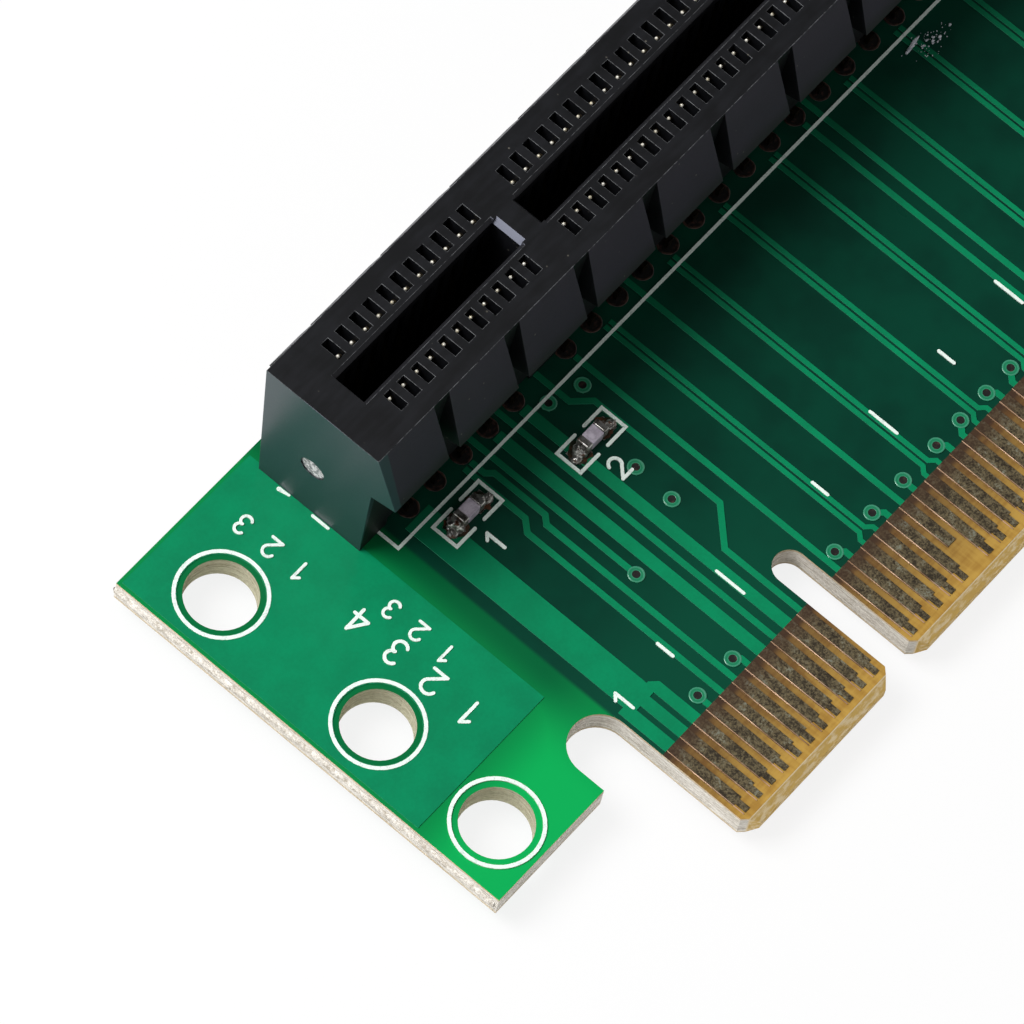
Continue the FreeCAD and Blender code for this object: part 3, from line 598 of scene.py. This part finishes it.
# ---- Chip capacitors ----
# Mauve-grey ceramic bodies with tinned ends, soldered by hand to two pads each. The solder stands in bright
# uneven lumps with brown flux left round them.
SWELLS = {"capacitor_1_": (1.15, 0.78), "capacitor_2_": (0.92, 0.72)}       # of the left and the right lump
LUMP_SHARES = (0.56, 0.52, 0.95)        # of the fillet's length, width and height
LUMP_INWARD = 0.18
SPILL_RADII = (0.30, 0.26, 0.20)        # of the little spill at the outer foot of each lump
BODY_ROUNDING = 0.07
TERMINAL_ROUNDING = 0.09
FILM_PROFILE = ((0.60, 0), (0.56, 0.012), (0.36, 0.02), (0, 0.02))
CERAMIC = colour(176, 166, 180)
CERAMIC_LIGHT = colour(214, 205, 218)
TIN = colour(196, 194, 190)
TIN_DULL = colour(120, 116, 110)
FLUX = colour(84, 48, 26)
FLUX_THIN = colour(30, 34, 22)


def soften(node, width, segments=2):
    """Rounds a CAD piece's edges for the light, by a width in millimetres."""
    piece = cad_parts[node]
    weld = piece.modifiers.new("weld", "WELD")
    weld.merge_threshold = 0.001 * MM
    rounding = piece.modifiers.new("rounding", "BEVEL")
    rounding.width = width * MM
    rounding.segments = segments
    rounding.limit_method = "ANGLE"
    rounding.angle_limit = math.radians(30)
    rounding.use_clamp_overlap = True


def ceramic_material():
    made, start = new_material("capacitor_ceramic")
    place = place_in_mm(start)
    clouds = place.grain(2.2, 4.0, 0.6)
    fine = place.grain(14.0, 2.0)
    start.surface(
        Base_Color=clouds.rise(0.38, 0.62).mix(CERAMIC, CERAMIC_LIGHT),
        Roughness=0.42 + fine * 0.15,
        Normal=(clouds + fine * 0.5).bump(0.3, 0.02),
    )
    return made


def tin_material(name, flux_share):
    """Bright tin, with brown flux over part of it."""
    made, start = new_material(name)
    place = place_in_mm(start)
    lumps = place.grain(3.0, 4.0, 0.6)
    fine = place.grain(12.0, 3.0)
    least = 0.66 - flux_share * 0.4
    flux = place.stretched(1.0, 1.0, 1.4).grain(2.4, 3.0).rise(least, least + 0.08)
    metal = lumps.rise(0.36, 0.60).mix(TIN_DULL, TIN)
    start.surface(
        Base_Color=flux.mix(metal, FLUX),
        Metallic=0.9 - flux * 0.9,
        Roughness=0.20 + fine * 0.20 + flux * 0.1,
        Normal=(lumps + fine * 0.3).bump(0.5, 0.03),
    )
    return made


def add_lump(points, faces, centre, radii, uneven, floor, rings=12, sides=18):
    """An uneven round lump that is cut off level at its floor."""
    centre = Vector(centre)
    first = len(points)
    for ring in range(rings + 1):
        tilt = math.pi * ring / rings
        for side in range(sides):
            turn = 2 * math.pi * side / sides
            out = Vector((math.sin(tilt) * math.cos(turn), math.sin(tilt) * math.sin(turn), math.cos(tilt)))
            swell = 1 + uneven * (noise.noise((centre + out) * 3.1) + 0.5 * noise.noise((centre + out) * 7.7))
            point = centre + Vector(out[axis] * radii[axis] * swell for axis in range(3))
            point.z = max(point.z, floor)
            points.append(point)
    for ring in range(rings):
        for side in range(sides):
            here = first + ring * sides
            after = (side + 1) % sides
            faces.append((here + side, here + sides + side, here + sides + after, here + after))


def make_capacitor_solder(prefix):
    """Lumps over the fillets of both ends, one bigger than the other."""
    points = []
    faces = []
    for index, group in enumerate(islands(prefix + "solder")):
        left, right = extent(group, 0)
        near, far = extent(group, 1)
        low, high = extent(group, 2)
        swell = SWELLS[prefix][index]
        inward = -LUMP_INWARD if index else LUMP_INWARD
        centre = ((left + right) / 2 + inward, (near + far) / 2, low + 0.05)
        sides = (right - left, far - near, high - low)
        radii = [side * share * swell for side, share in zip(sides, LUMP_SHARES)]
        add_lump(points, faces, centre, radii, 0.45, low, 16, 24)
        outer = left + 0.10 if index == 0 else right - 0.10
        add_lump(points, faces, (outer, near + 0.25, low), SPILL_RADII, 0.4, low)
    piece = new_piece(prefix + "lumps", points, faces, tin_material(prefix + "solder", 0.22))
    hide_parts(prefix + "solder")


def flux_material():
    made, start = new_material("flux_film")
    place = place_in_mm(start)
    patches = place.grain(2.5, 4.0, 0.6)
    start.surface(
        Base_Color=patches.rise(0.40, 0.62).mix(FLUX_THIN, FLUX),
        Roughness=0.22 + patches * 0.2,
        Normal=patches.bump(0.4, 0.03),
    )
    return made


def make_flux_films():
    points = []
    faces = []
    for prefix in SWELLS:
        for group in islands(prefix + "pads"):
            add_turned(points, faces, (*middle(group), RUN_TOP), FILM_PROFILE, sides=28, wobble=0.45)
    new_piece("flux_films", points, faces, flux_material())


ceramic_finish = ceramic_material()
terminal_finish = tin_material("capacitor_terminals", 0.10)
for prefix in SWELLS:
    dress(prefix + "body", ceramic_finish)
    dress(prefix + "terminals", terminal_finish)
    dress(prefix + "pads", terminal_finish)
    soften(prefix + "body", BODY_ROUNDING, 3)
    soften(prefix + "terminals", TERMINAL_ROUNDING, 3)
    make_capacitor_solder(prefix)
make_flux_films()


# ---- Card slot housing ----
# One black moulding in glass-filled nylon, with a satin top and smoother drafted ends. The left end
# is painted greenish grey, a painted reflection of the board with painted light from the left.
# The broken-off gate leaves a pale mottled disc on the end above the tab.
HOUSING = colour(10, 11, 14)
HOUSING_WORN = colour(20, 21, 25)
# painted sheen: the lighter bluish tint of the outward panels
HOUSING_PANEL_SHEEN = colour(36, 31, 45)
# painted reflection and light: the greenish grey of the left end
HOUSING_END_REFLECTION = colour(38, 58, 63)
# worn pale in patches, partly a painted highlight along the rounded edges
HOUSING_DUST = colour(110, 106, 96)
HOUSING_EDGE_WEAR_AND_HIGHLIGHT = colour(112, 114, 117)
SLOT_LIP = colour(22, 22, 26)
# painted highlight: the pale lead-in of the key facing left
KEY_LIP_HIGHLIGHT = colour(132, 135, 150)
GATE = colour(226, 224, 224)
GATE_LEVEL = 4.75               # above the board
GATE_ASIDE = 0.15               # behind the slot's centre line
GATE_SIZE = 0.74
HOUSING_ROUNDING = 0.06
HOUSING_SPECULAR = 0.30
HOUSING_LEFT, _, _, _, _, HOUSING_TOP = edges("slot_housing")


def slot_centre():
    """The slot's centre line, midway between the two rows of solder tails nearest to it."""
    return (edges("front_springs_inner")[4] + edges("rear_springs_inner")[1]) / 2


SLOT_CENTRE = slot_centre()
SLOT_REACH = 1.15               # from the centre line to beyond the lead-in along each side


def housing_material():
    made, start = new_material("slot_housing")
    place = place_in_mm(start)
    x, y, z = place.parts()
    across, _, up = facing(start).parts()
    clouds = place.grain(0.6, 3.0)
    fine = place.grain(9.0, 3.0, 0.65)
    flow = place.stretched(0.35, 2.0, 0.6).grain(1.4, 3.0)
    base = (clouds * 0.5 + flow * 0.5).rise(0.38, 0.66).mix(HOUSING, HOUSING_WORN)
    # painted sheen: the upper parts of the outward panels are painted a lighter bluish tint
    panel = up.within(0.25, 0.37, 0.02) * z.rise(HOUSING_TOP - 4.0, HOUSING_TOP - 2.8)
    base = (panel * (0.65 + clouds * 0.5)).mix(base, HOUSING_PANEL_SHEEN)
    dust = (1 - place.specks(1.6).rise(0.03, 0.12)) * place.grain(0.9, 2.0).rise(0.50, 0.60)
    base = (dust * 0.7).mix(base, HOUSING_DUST)
    # painted reflection and light: the left end face takes the greenish grey
    left_end = (1 - x.rise(HOUSING_LEFT + 0.6, HOUSING_LEFT + 0.7)) * (1 - up.rise(0.5, 0.9))
    base = left_end.mix(base, HOUSING_END_REFLECTION)

    # the rounded edges are worn pale in patches, partly as a painted highlight, but the slot's lead-ins are
    # clean
    worn_and_lit_edges = up.within(0.37, 0.985, 0.01) * place.grain(2.5, 4.0, 0.7).rise(0.36, 0.62)
    base = (worn_and_lit_edges * 0.8).mix(base, HOUSING_EDGE_WEAR_AND_HIGHLIGHT)
    # painted highlight: the lead-ins facing left are painted pale
    lip = up.within(0.37, 0.95, 0.01) * (1 - (y - SLOT_CENTRE).size().rise(SLOT_REACH, SLOT_REACH + 0.05))
    base = lip.mix(base, (0 - across).rise(0.30, 0.50).mix(SLOT_LIP, KEY_LIP_HIGHLIGHT))

    # the mark of the gate
    gate_centre = (0, SLOT_CENTRE + GATE_ASIDE, RUN_TOP + GATE_LEVEL)
    from_gate = place.stretched(0, 1, 1).distance(gate_centre)
    gate = (1 - from_gate.rise(GATE_SIZE * 0.85, GATE_SIZE)) * left_end
    mottle = place.grain(5.0, 4.0, 0.7).rise(0.42, 0.60)
    base = (gate * (0.25 + mottle * 0.75)).mix(base, GATE)
    start.surface(
        Base_Color=base,
        Roughness=0.42 - left_end * 0.12 + fine * 0.12 + gate * 0.3,
        Specular_IOR_Level=HOUSING_SPECULAR,
        Normal=(fine * 0.6 + flow * 0.4 + gate * mottle).bump(0.12, 0.02),
    )
    return made


dress("slot_housing", housing_material())
soften("slot_housing", HOUSING_ROUNDING)


# ---- Spring contacts ----
# Stamped phosphor-bronze strips, painted dark as a painted shade for the deep channels. Only the small tips
# show from above, one at the slot's side of each channel, with a painted highlight, and the tails come out
# under the board in a solder joint each.
SPRINGS = ("front_springs_inner", "front_springs_outer", "rear_springs_inner", "rear_springs_outer")
# painted shade: the bronze is painted dark, as the springs lie deep in the channels
BRONZE_SHADED = colour(56, 48, 34)
BRONZE_DARK_SHADED = colour(30, 26, 20)
# painted highlight: the near-white tips stand for the glint of light on them
TIP_HIGHLIGHT = colour(214, 204, 176)
TIP_HIGHLIGHT_BRIGHT = colour(252, 248, 236)
TIP_RADII = (0.10, 0.10, 0.12)
TIP_LIFT = 0.02
JOINT_PROFILE = (
    (0.60, -0.02), (0.57, -0.06), (0.42, -0.16), (0.30, -0.38), (0.22, -0.66), (0.16, -0.80), (0.02, -0.84),
)
PAD_PROFILE = ((0.60, 0), (0.58, 0.03), (0.53, 0.04), (0.49, 0.02), (0.47, 0.01))
WELL_PROFILE = ((0.48, 0.014), (0.30, 0.008), (0.12, 0.006))
# the pads' colours are darkened, partly as a painted shade from the housing above them; the patches are
# stains
PAD_DARK_AND_SHADED = colour(34, 24, 20)
PAD_STAIN_AND_SHADE = colour(74, 54, 44)


def spring_material():
    made, start = new_material("spring_bronze")
    place = place_in_mm(start)
    _, _, z = place.parts()
    streaks = place.stretched(3.0, 3.0, 0.8).grain(1.8, 3.0)
    tinned = 1 - z.rise(-0.1, 0.4)
    metal = streaks.rise(0.38, 0.62).mix(BRONZE_DARK_SHADED, BRONZE_SHADED)
    start.surface(
        Base_Color=tinned.mix(metal, TIN),
        Metallic=0.9,
        Roughness=0.34 + streaks * 0.2,
        Normal=streaks.bump(0.3, 0.02),
    )
    return made


def tip_highlight_material():
    made, start = new_material("painted_tip_highlights")
    place = place_in_mm(start)
    # painted highlight
    start.surface(
        Base_Color=place.grain(6.0, 2.0).rise(0.35, 0.60).mix(TIP_HIGHLIGHT, TIP_HIGHLIGHT_BRIGHT),
        Metallic=0.25,
        Roughness=0.25 + place.grain(9.0) * 0.15,
    )
    return made


def average(group):
    return sum(group, Vector()) / len(group)


def spring_ends(high):
    """The middle of each spring's top or bottom end."""
    for node in SPRINGS:
        for group in islands(node):
            low_level, high_level = extent(group, 2)
            level = high_level if high else low_level
            yield average([point for point in group if abs(point.z - level) < 0.12])


def make_tips():
    points = []
    faces = []
    for end in spring_ends(True):
        add_lump(points, faces, end + Vector((0, 0, TIP_LIFT)), TIP_RADII, 0.15, end.z - 0.08, 6, 10)
    new_piece("spring_tip_highlights", points, faces, tip_highlight_material())


def make_joints():
    """A solder joint round every tail, under the board."""
    points = []
    faces = []
    for end in spring_ends(False):
        add_turned(points, faces, (end.x, end.y, 0), JOINT_PROFILE, sides=16, wobble=0.18)
    new_piece("tail_joints", points, faces, tin_material("tail_solder", 0.12))


def pad_material():
    made, start = new_material("tail_pads")
    place = place_in_mm(start)
    stain = place.grain(3.0, 4.0, 0.6)
    start.surface(
        Base_Color=stain.rise(0.38, 0.62).mix(PAD_DARK_AND_SHADED, PAD_STAIN_AND_SHADE),
        Roughness=0.35 + stain * 0.2,
        Metallic=0.2,
        Normal=stain.bump(0.4, 0.03),
    )
    return made


def make_tail_pads():
    """The plated ring round every tail, on the component side, and a flat disc inside it painted with the
    hole's shade.
    """
    rings = ([], [])
    wells = ([], [])
    for end in spring_ends(False):
        centre = (end.x, end.y, BOARD_TOP)
        add_turned(*rings, centre, PAD_PROFILE, wobble=0.05)
        add_turned(*wells, centre, WELL_PROFILE, wobble=0.05)
    new_piece("tail_pads", *rings, pad_material())
    new_piece("tail_well_shades", *wells, hole_shade_material())


spring_finish = spring_material()
for node in SPRINGS:
    dress(node, spring_finish)
make_tips()
make_joints()
make_tail_pads()


# ---- Dried flux ----
# A few pale crumbs and a smear of flux left on the board in front of the slot, beside one of the tail joints.
CRUMB_PLACE = (27.5, 21.1)
CRUMB_COUNT = 70
CRUMB_SPREAD = 0.62
CRUMB_SUNK = 0.06
SMEAR_ASIDE = (-0.7, 0.5)               # from the middle of the crumbs
SMEAR_STEPS = (-0.36, -0.18, 0.02, 0.20, 0.36)
SMEAR_RADII = (0.24, 0.08, 0.05)
DRY_FLUX = colour(170, 176, 186)
DRY_FLUX_PALE = colour(240, 244, 250)


def make_crumbs():
    draw = random.Random(4)
    points = []
    faces = []
    for crumb in range(CRUMB_COUNT):
        away = draw.gauss(0, CRUMB_SPREAD), draw.gauss(0, CRUMB_SPREAD * 0.5)
        size = draw.uniform(0.02, 0.05) if crumb % 6 else draw.uniform(0.06, 0.12)
        centre = (CRUMB_PLACE[0] + away[0], CRUMB_PLACE[1] + away[1], RUN_TOP)
        add_lump(points, faces, centre, (size, size * 0.7, size * 0.4), 0.6, RUN_TOP - CRUMB_SUNK, 5, 7)
    x, y = [place + aside for place, aside in zip(CRUMB_PLACE, SMEAR_ASIDE)]
    for step in SMEAR_STEPS:
        centre = (x + step, y + step * 0.2, RUN_TOP)
        add_lump(points, faces, centre, SMEAR_RADII, 0.8, RUN_TOP - CRUMB_SUNK, 8, 14)
    finish = rough_material("dried_flux", DRY_FLUX, DRY_FLUX_PALE, 5.0, 0.5, 0.02)
    new_piece("flux_crumbs", points, faces, finish)


make_crumbs()


# ---- White print ----
# Ink laid by a round pen: rings round the screw holes, the slot's outline, brackets round the capacitors,
# ticks at every fifth contact, and rows of plain numbers. Its edges are slightly ragged.
INK = colour(232, 244, 236)
INK_THIN = colour(196, 212, 204)
INK_HEIGHT = 0.03
INK_SUNK = 0.04                 # the sides of a stroke run down into the lacquer
PEN_STEP = 0.07
PEN_LIFT = 0.0015               # each stroke lies this much over the one before, where two cross
RAGGED = 0.12
OUTLINE_PEN = 0.16
FOOT_MARK_PEN = 0.24
FOOT_MARK_X = HOUSING_LEFT + 0.50
BRACKET_PEN = 0.18
RING_PEN = 0.20
TICK_PEN = 0.17
SMALL_PEN = 0.15
LARGE_PEN = 0.175
OUTLINE_INSET = 0.10            # of the pen's line from the edges of the printed area
BRACKET_INSET = 0.11
RING_INSET = 0.17
TICK_INSET = 0.10


def ink_material():
    made, start = new_material("white_ink")
    place = place_in_mm(start)
    patches = place.grain(3.5, 4.0, 0.65)
    fine = place.grain(12.0, 2.0)
    start.surface(
        Base_Color=(patches * 0.6 + fine * 0.4).rise(0.34, 0.50).mix(INK_THIN, INK),
        Roughness=0.55 + fine * 0.15,
        Normal=(patches + fine * 0.5).bump(0.4, 0.02),
    )
    return made


ink_finish = ink_material()


class Print:
    """Strokes of ink that end up as one piece of the scene."""

    def __init__(self):
        self.points = []
        self.faces = []
        self.level = RUN_TOP + INK_HEIGHT

    def corner(self, spot):
        """Adds a point on the ink's face and one below it, and gives the number of the first."""
        self.points.append((spot.x, spot.y, self.level))
        self.points.append((spot.x, spot.y, self.level - INK_HEIGHT - INK_SUNK))
        return len(self.points) - 2

    def stroke(self, corners, width, closed=False, taper=1.0):
        """One line of the pen, mitred where it bends, with round ends unless it closes on itself."""
        corners = [Vector(corner).to_2d() for corner in corners]
        pairs = list(zip(corners, corners[1:] + corners[:1] if closed else corners[1:]))
        path = []
        for start, end in pairs:
            steps = max(1, round((end - start).length / PEN_STEP))
            path += [start.lerp(end, step / steps) for step in range(steps)]
        if not closed:
            path.append(corners[-1])
        count = len(path)
        left = []
        right = []
        for index, here in enumerate(path):
            before = here - path[index - 1] if closed or index else path[1] - here
            after = path[(index + 1) % count] - here if closed or index < count - 1 else before
            heading = (before.normalized() + after.normalized()).normalized()
            reach = width / 2 / max(heading.dot(after.normalized()), 0.5)
            reach *= 1 + (taper - 1) * index / max(count - 1, 1)
            across = Vector((-heading.y, heading.x))
            for side, row in ((1, left), (-1, right)):
                ragged = 1 + RAGGED * noise.noise(Vector((here.x, here.y, side * 3.0)) * 8.0)
                row.append(self.corner(here + across * side * reach * ragged))
        if closed:
            outline = []
            spans = [(index, (index + 1) % count) for index in range(count)]
        else:
            outline = left + self.round_end(path[-1], path[-1] - path[-2], width * taper)
            outline += right[::-1] + self.round_end(path[0], path[0] - path[1], width)
            spans = list(zip(range(count - 1), range(1, count)))
        for here, after in spans:
            self.faces.append((left[here], right[here], right[after], left[after]))
            if closed:
                self.faces.append((left[here], left[after], left[after] + 1, left[here] + 1))
                self.faces.append((right[after], right[here], right[here] + 1, right[after] + 1))
        for here, after in zip(outline, outline[1:] + outline[:1]):
            self.faces.append((here, after, after + 1, here + 1))
        if not closed:
            caps = len(outline) // 2 - count
            self.faces.append((right[-1], *outline[count:count + caps][::-1], left[-1])[::-1])
            self.faces.append((left[0], *outline[count * 2 + caps:][::-1], right[0])[::-1])
        self.level += PEN_LIFT

    def round_end(self, centre, heading, width):
        """The points of a half circle, from the left of the heading round to its right."""
        out = heading.normalized() * width / 2
        turns = [Matrix.Rotation(math.radians(degrees), 2) for degrees in (54, 18, -18, -54)]
        return [self.corner(centre + turn @ out) for turn in turns]

    def number(self, text, corner, height, heading, width):
        """A row of digits from its lower left corner; the heading is the way that the row runs."""
        along = Vector(heading)
        upward = Vector((-along.y, along.x))
        for place, digit in enumerate(text):
            for line in DIGITS.get(digit, ()):
                spots = [along * (u + place * DIGIT_ADVANCE) * height + upward * v * height for u, v in line]
                self.stroke([Vector(corner) + spot for spot in spots], width)

    def finish(self, name, node=None):
        """Makes the piece, in the place of a CAD piece where one is named."""
        piece = new_piece(name, self.points, self.faces, ink_finish, smooth=False)
        if node:
            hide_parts(node)


def arc(x, y, radius, start, end, step=18):
    """Points on an arc, from one angle to another in degrees."""
    steps = max(2, round(abs(end - start) / step))
    angles = [math.radians(start + (end - start) * index / steps) for index in range(steps + 1)]
    return [(x + radius * math.cos(angle), y + radius * math.sin(angle)) for angle in angles]


# the strokes of each number, in a box one unit high
DIGITS = {
    "1": [[(0.10, 0.76), (0.36, 1.0)], [(0.36, 1.0), (0.36, 0.0)]],
    "2": [arc(0.30, 0.70, 0.30, 165, -40), [(0.53, 0.51), (0.0, 0.0)], [(0.0, 0.0), (0.62, 0.0)]],
    "3": [arc(0.28, 0.74, 0.26, 150, -80), arc(0.28, 0.25, 0.27, 75, -150)],
    "4": [[(0.46, 1.0), (0.46, 0.0)], [(0.46, 1.0), (0.0, 0.30)], [(0.0, 0.30), (0.64, 0.30)]],
}
DIGIT_ADVANCE = 0.88


def print_rings():
    rings = Print()
    for group in islands("hole_rings"):
        left, right = extent(group, 0)
        radius = (right - left) / 2 - RING_INSET
        rings.stroke(arc(*middle(group), radius, 0, 356, step=4), RING_PEN, closed=True)
    rings.finish("ring_print", "hole_rings")


def print_slot_outline():
    """The line in front of the slot, and the two ends of the line beyond it that the housing leaves bare."""
    outline = Print()
    left, near, _, right, far, _ = edges("slot_outline_print")
    left += OUTLINE_INSET
    right -= OUTLINE_INSET
    near += OUTLINE_INSET
    far += 1.2
    outline.stroke([(left, far), (left, near), (right, near), (right, far)], OUTLINE_PEN)
    outline.stroke([(FOOT_MARK_X, SLOT_CENTRE - 1.35), (FOOT_MARK_X, SLOT_CENTRE - 0.35)], OUTLINE_PEN)
    thin_mark = [(FOOT_MARK_X - 0.04, SLOT_CENTRE + 1.80), (FOOT_MARK_X + 0.04, SLOT_CENTRE + 1.20)]
    outline.stroke(thin_mark, FOOT_MARK_PEN, taper=0.5)
    outline.finish("outline_print", "slot_outline_print")


def print_brackets():
    brackets = Print()
    for index, group in enumerate(islands("capacitor_bracket_print")):
        left, right = extent(group, 0)
        near, far = extent(group, 1)
        near += BRACKET_INSET
        far -= BRACKET_INSET
        sides = (left + BRACKET_INSET, right - BRACKET_INSET)
        back, tip = sides if index % 2 == 0 else sides[::-1]
        brackets.stroke([(tip, near), (back, near), (back, far), (tip, far)], BRACKET_PEN)
    brackets.finish("bracket_print", "capacitor_bracket_print")


def print_ticks():
    ticks = Print()
    for group in islands("contact_tick_print"):
        x, _ = middle(group)
        near, far = extent(group, 1)
        ticks.stroke([(x, near + TICK_INSET), (x, far - TICK_INSET)], TICK_PEN)
    ticks.finish("tick_print", "contact_tick_print")


def print_numbers():
    """Plain numbers: at the first contact, at each capacitor, and in three rows on the tab."""
    numbers = Print()
    first_finger, _ = middle(islands("front_fingers_short_tongue")[0])
    numbers.number("1", (first_finger - 0.1, FINGER_LINE + 2.65), 1.15, (1, 0), LARGE_PEN)
    for number, prefix in zip("12", SWELLS):
        left, near, _, right, _, _ = edges(prefix + "pads")
        numbers.number(number, ((left + right) / 2 - 0.55, near - 2.05), 1.15, (1, 0), LARGE_PEN)
    numbers.number("1 2 3 4", (HOLE_X + 4.15, HOLE_ROWS[0] + 4.30), 1.35, (0, 1), LARGE_PEN)
    numbers.number("1 2 3", (HOLE_X + 5.57, HOLE_ROWS[1] - 0.30), 1.00, (0, 1), SMALL_PEN)
    numbers.number("1 2 3", (HOLE_X + 4.07, HOLE_ROWS[2] - 2.30), 1.05, (0, 1), SMALL_PEN)
    numbers.finish("number_print")


print_rings()
print_slot_outline()
print_brackets()
print_ticks()
print_numbers()


# ---- Stage ----
# A pale floor just under the solder tails and plain white all round. A large soft lamp stands high at the far
# left and a small one low at the left. The camera looks steeply down from beyond the tab, a little in front.
FLOOR_LEVEL = edges("front_springs_outer")[2] - 0.02
FLOOR_REACH = 3000
FLOOR_MATT = colour(236, 236, 236)
FLOOR_GLOW = 0.85               # how far the floor looks plain white, to the eye and in reflections
AMBIENT = 0.36
HORIZON_GAIN = 0.55             # these two are added to the ambient light in reflections
CEILING_LOSS = -0.32
WHITE = (1, 1, 1, 1)


def make_floor():
    made, start = new_material("floor")
    seen = start.node("LightPath", {}, {}, output="Is Camera Ray")
    mirrored = start.node("LightPath", {}, {}, output="Is Glossy Ray")
    matt = start.node("BsdfDiffuse", {}, {"Color": FLOOR_MATT})
    glow = start.node("Emission", {}, {"Color": WHITE, "Strength": 1.0})
    start.node("MixShader", {}, {0: seen.over(mirrored) * FLOOR_GLOW, 1: matt, 2: glow}).show()
    mesh = bpy.data.meshes.new("floor")
    corners = [(-FLOOR_REACH, -FLOOR_REACH), (FLOOR_REACH, -FLOOR_REACH)]
    corners += [(FLOOR_REACH, FLOOR_REACH), (-FLOOR_REACH, FLOOR_REACH)]
    mesh.from_pydata([Vector((x, y, FLOOR_LEVEL)) * MM for x, y in corners], [], [(0, 1, 2, 3)])
    mesh.materials.append(made)
    floor = bpy.data.objects.new("floor", mesh)
    bpy.context.scene.collection.objects.link(floor)
    floor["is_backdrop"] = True


def make_surroundings():
    """White to the eye, a plain level for the light, and a dark ceiling between the lamps for reflections."""
    world = bpy.data.worlds.new("surroundings")
    bpy.context.scene.world = world
    world.use_nodes = True
    world.node_tree.nodes.clear()
    start = Wire(world.node_tree)
    seen = start.node("LightPath", {}, {}, output="Is Camera Ray")
    mirrored = start.node("LightPath", {}, {}, output="Is Glossy Ray")
    _, _, up = start.node("TexCoord", {}, {}, output="Generated").parts()
    ceiling = up.rise(0.15, 0.55)
    plain = mirrored * (1 - ceiling) * HORIZON_GAIN + mirrored * ceiling * CEILING_LOSS + AMBIENT
    strength = seen + (1 - seen) * plain
    background = start.node("Background", {}, {"Color": WHITE, "Strength": strength})
    output = world.node_tree.nodes.new("ShaderNodeOutputWorld")
    world.node_tree.links.new(background.socket, output.inputs["Surface"])


def add_lamp(name, place, aim, size, power):
    """A soft square lamp that points at a place; both in millimetres."""
    data = bpy.data.lights.new(name, "AREA")
    data.size = size * MM
    data.energy = power
    made = bpy.data.objects.new(name, data)
    made.location = Vector(place) * MM
    made.rotation_euler = (Vector(aim) - Vector(place)).to_track_quat("-Z", "Y").to_euler()
    made.visible_camera = False
    bpy.context.scene.collection.objects.link(made)


CAMERA_AIM = (-7.174, 19.496, 1.57)
CAMERA_DISTANCE = 437.64
CAMERA_AZIMUTH = -63.058
CAMERA_ELEVATION = 63.455
CAMERA_ROLL = -14.808
CAMERA_LENS = 314.21


def set_camera():
    azimuth = math.radians(CAMERA_AZIMUTH)
    elevation = math.radians(CAMERA_ELEVATION)
    level_back = Vector((math.sin(azimuth), -math.cos(azimuth), 0))
    back = level_back * math.cos(elevation) + Vector((0, 0, math.sin(elevation)))
    level_up = (Vector((0, 0, 1)) - back * back.z).normalized()
    roll = math.radians(CAMERA_ROLL)
    up = level_up * math.cos(roll) + level_up.cross(back) * math.sin(roll)
    data = bpy.data.cameras.new("camera")
    data.lens = CAMERA_LENS
    camera = bpy.data.objects.new("camera", data)
    turn = Matrix((up.cross(back), up, back)).transposed().to_4x4()
    camera.matrix_world = Matrix.Translation((Vector(CAMERA_AIM) + back * CAMERA_DISTANCE) * MM) @ turn
    bpy.context.scene.collection.objects.link(camera)
    bpy.context.scene.camera = camera


make_floor()
make_surroundings()
add_lamp("key", (-145, 195, 325), (0, 15, 0), 215, 1.7)
add_lamp("low", (-300, 88, 3), (0, 20, 8), 60, 0.08)
set_camera()
bpy.context.scene.view_settings.view_transform = "Standard"

boxes = {"cad": cad_box, "visual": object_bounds()}
{name: [list(corner) for corner in box] for name, box in boxes.items()}
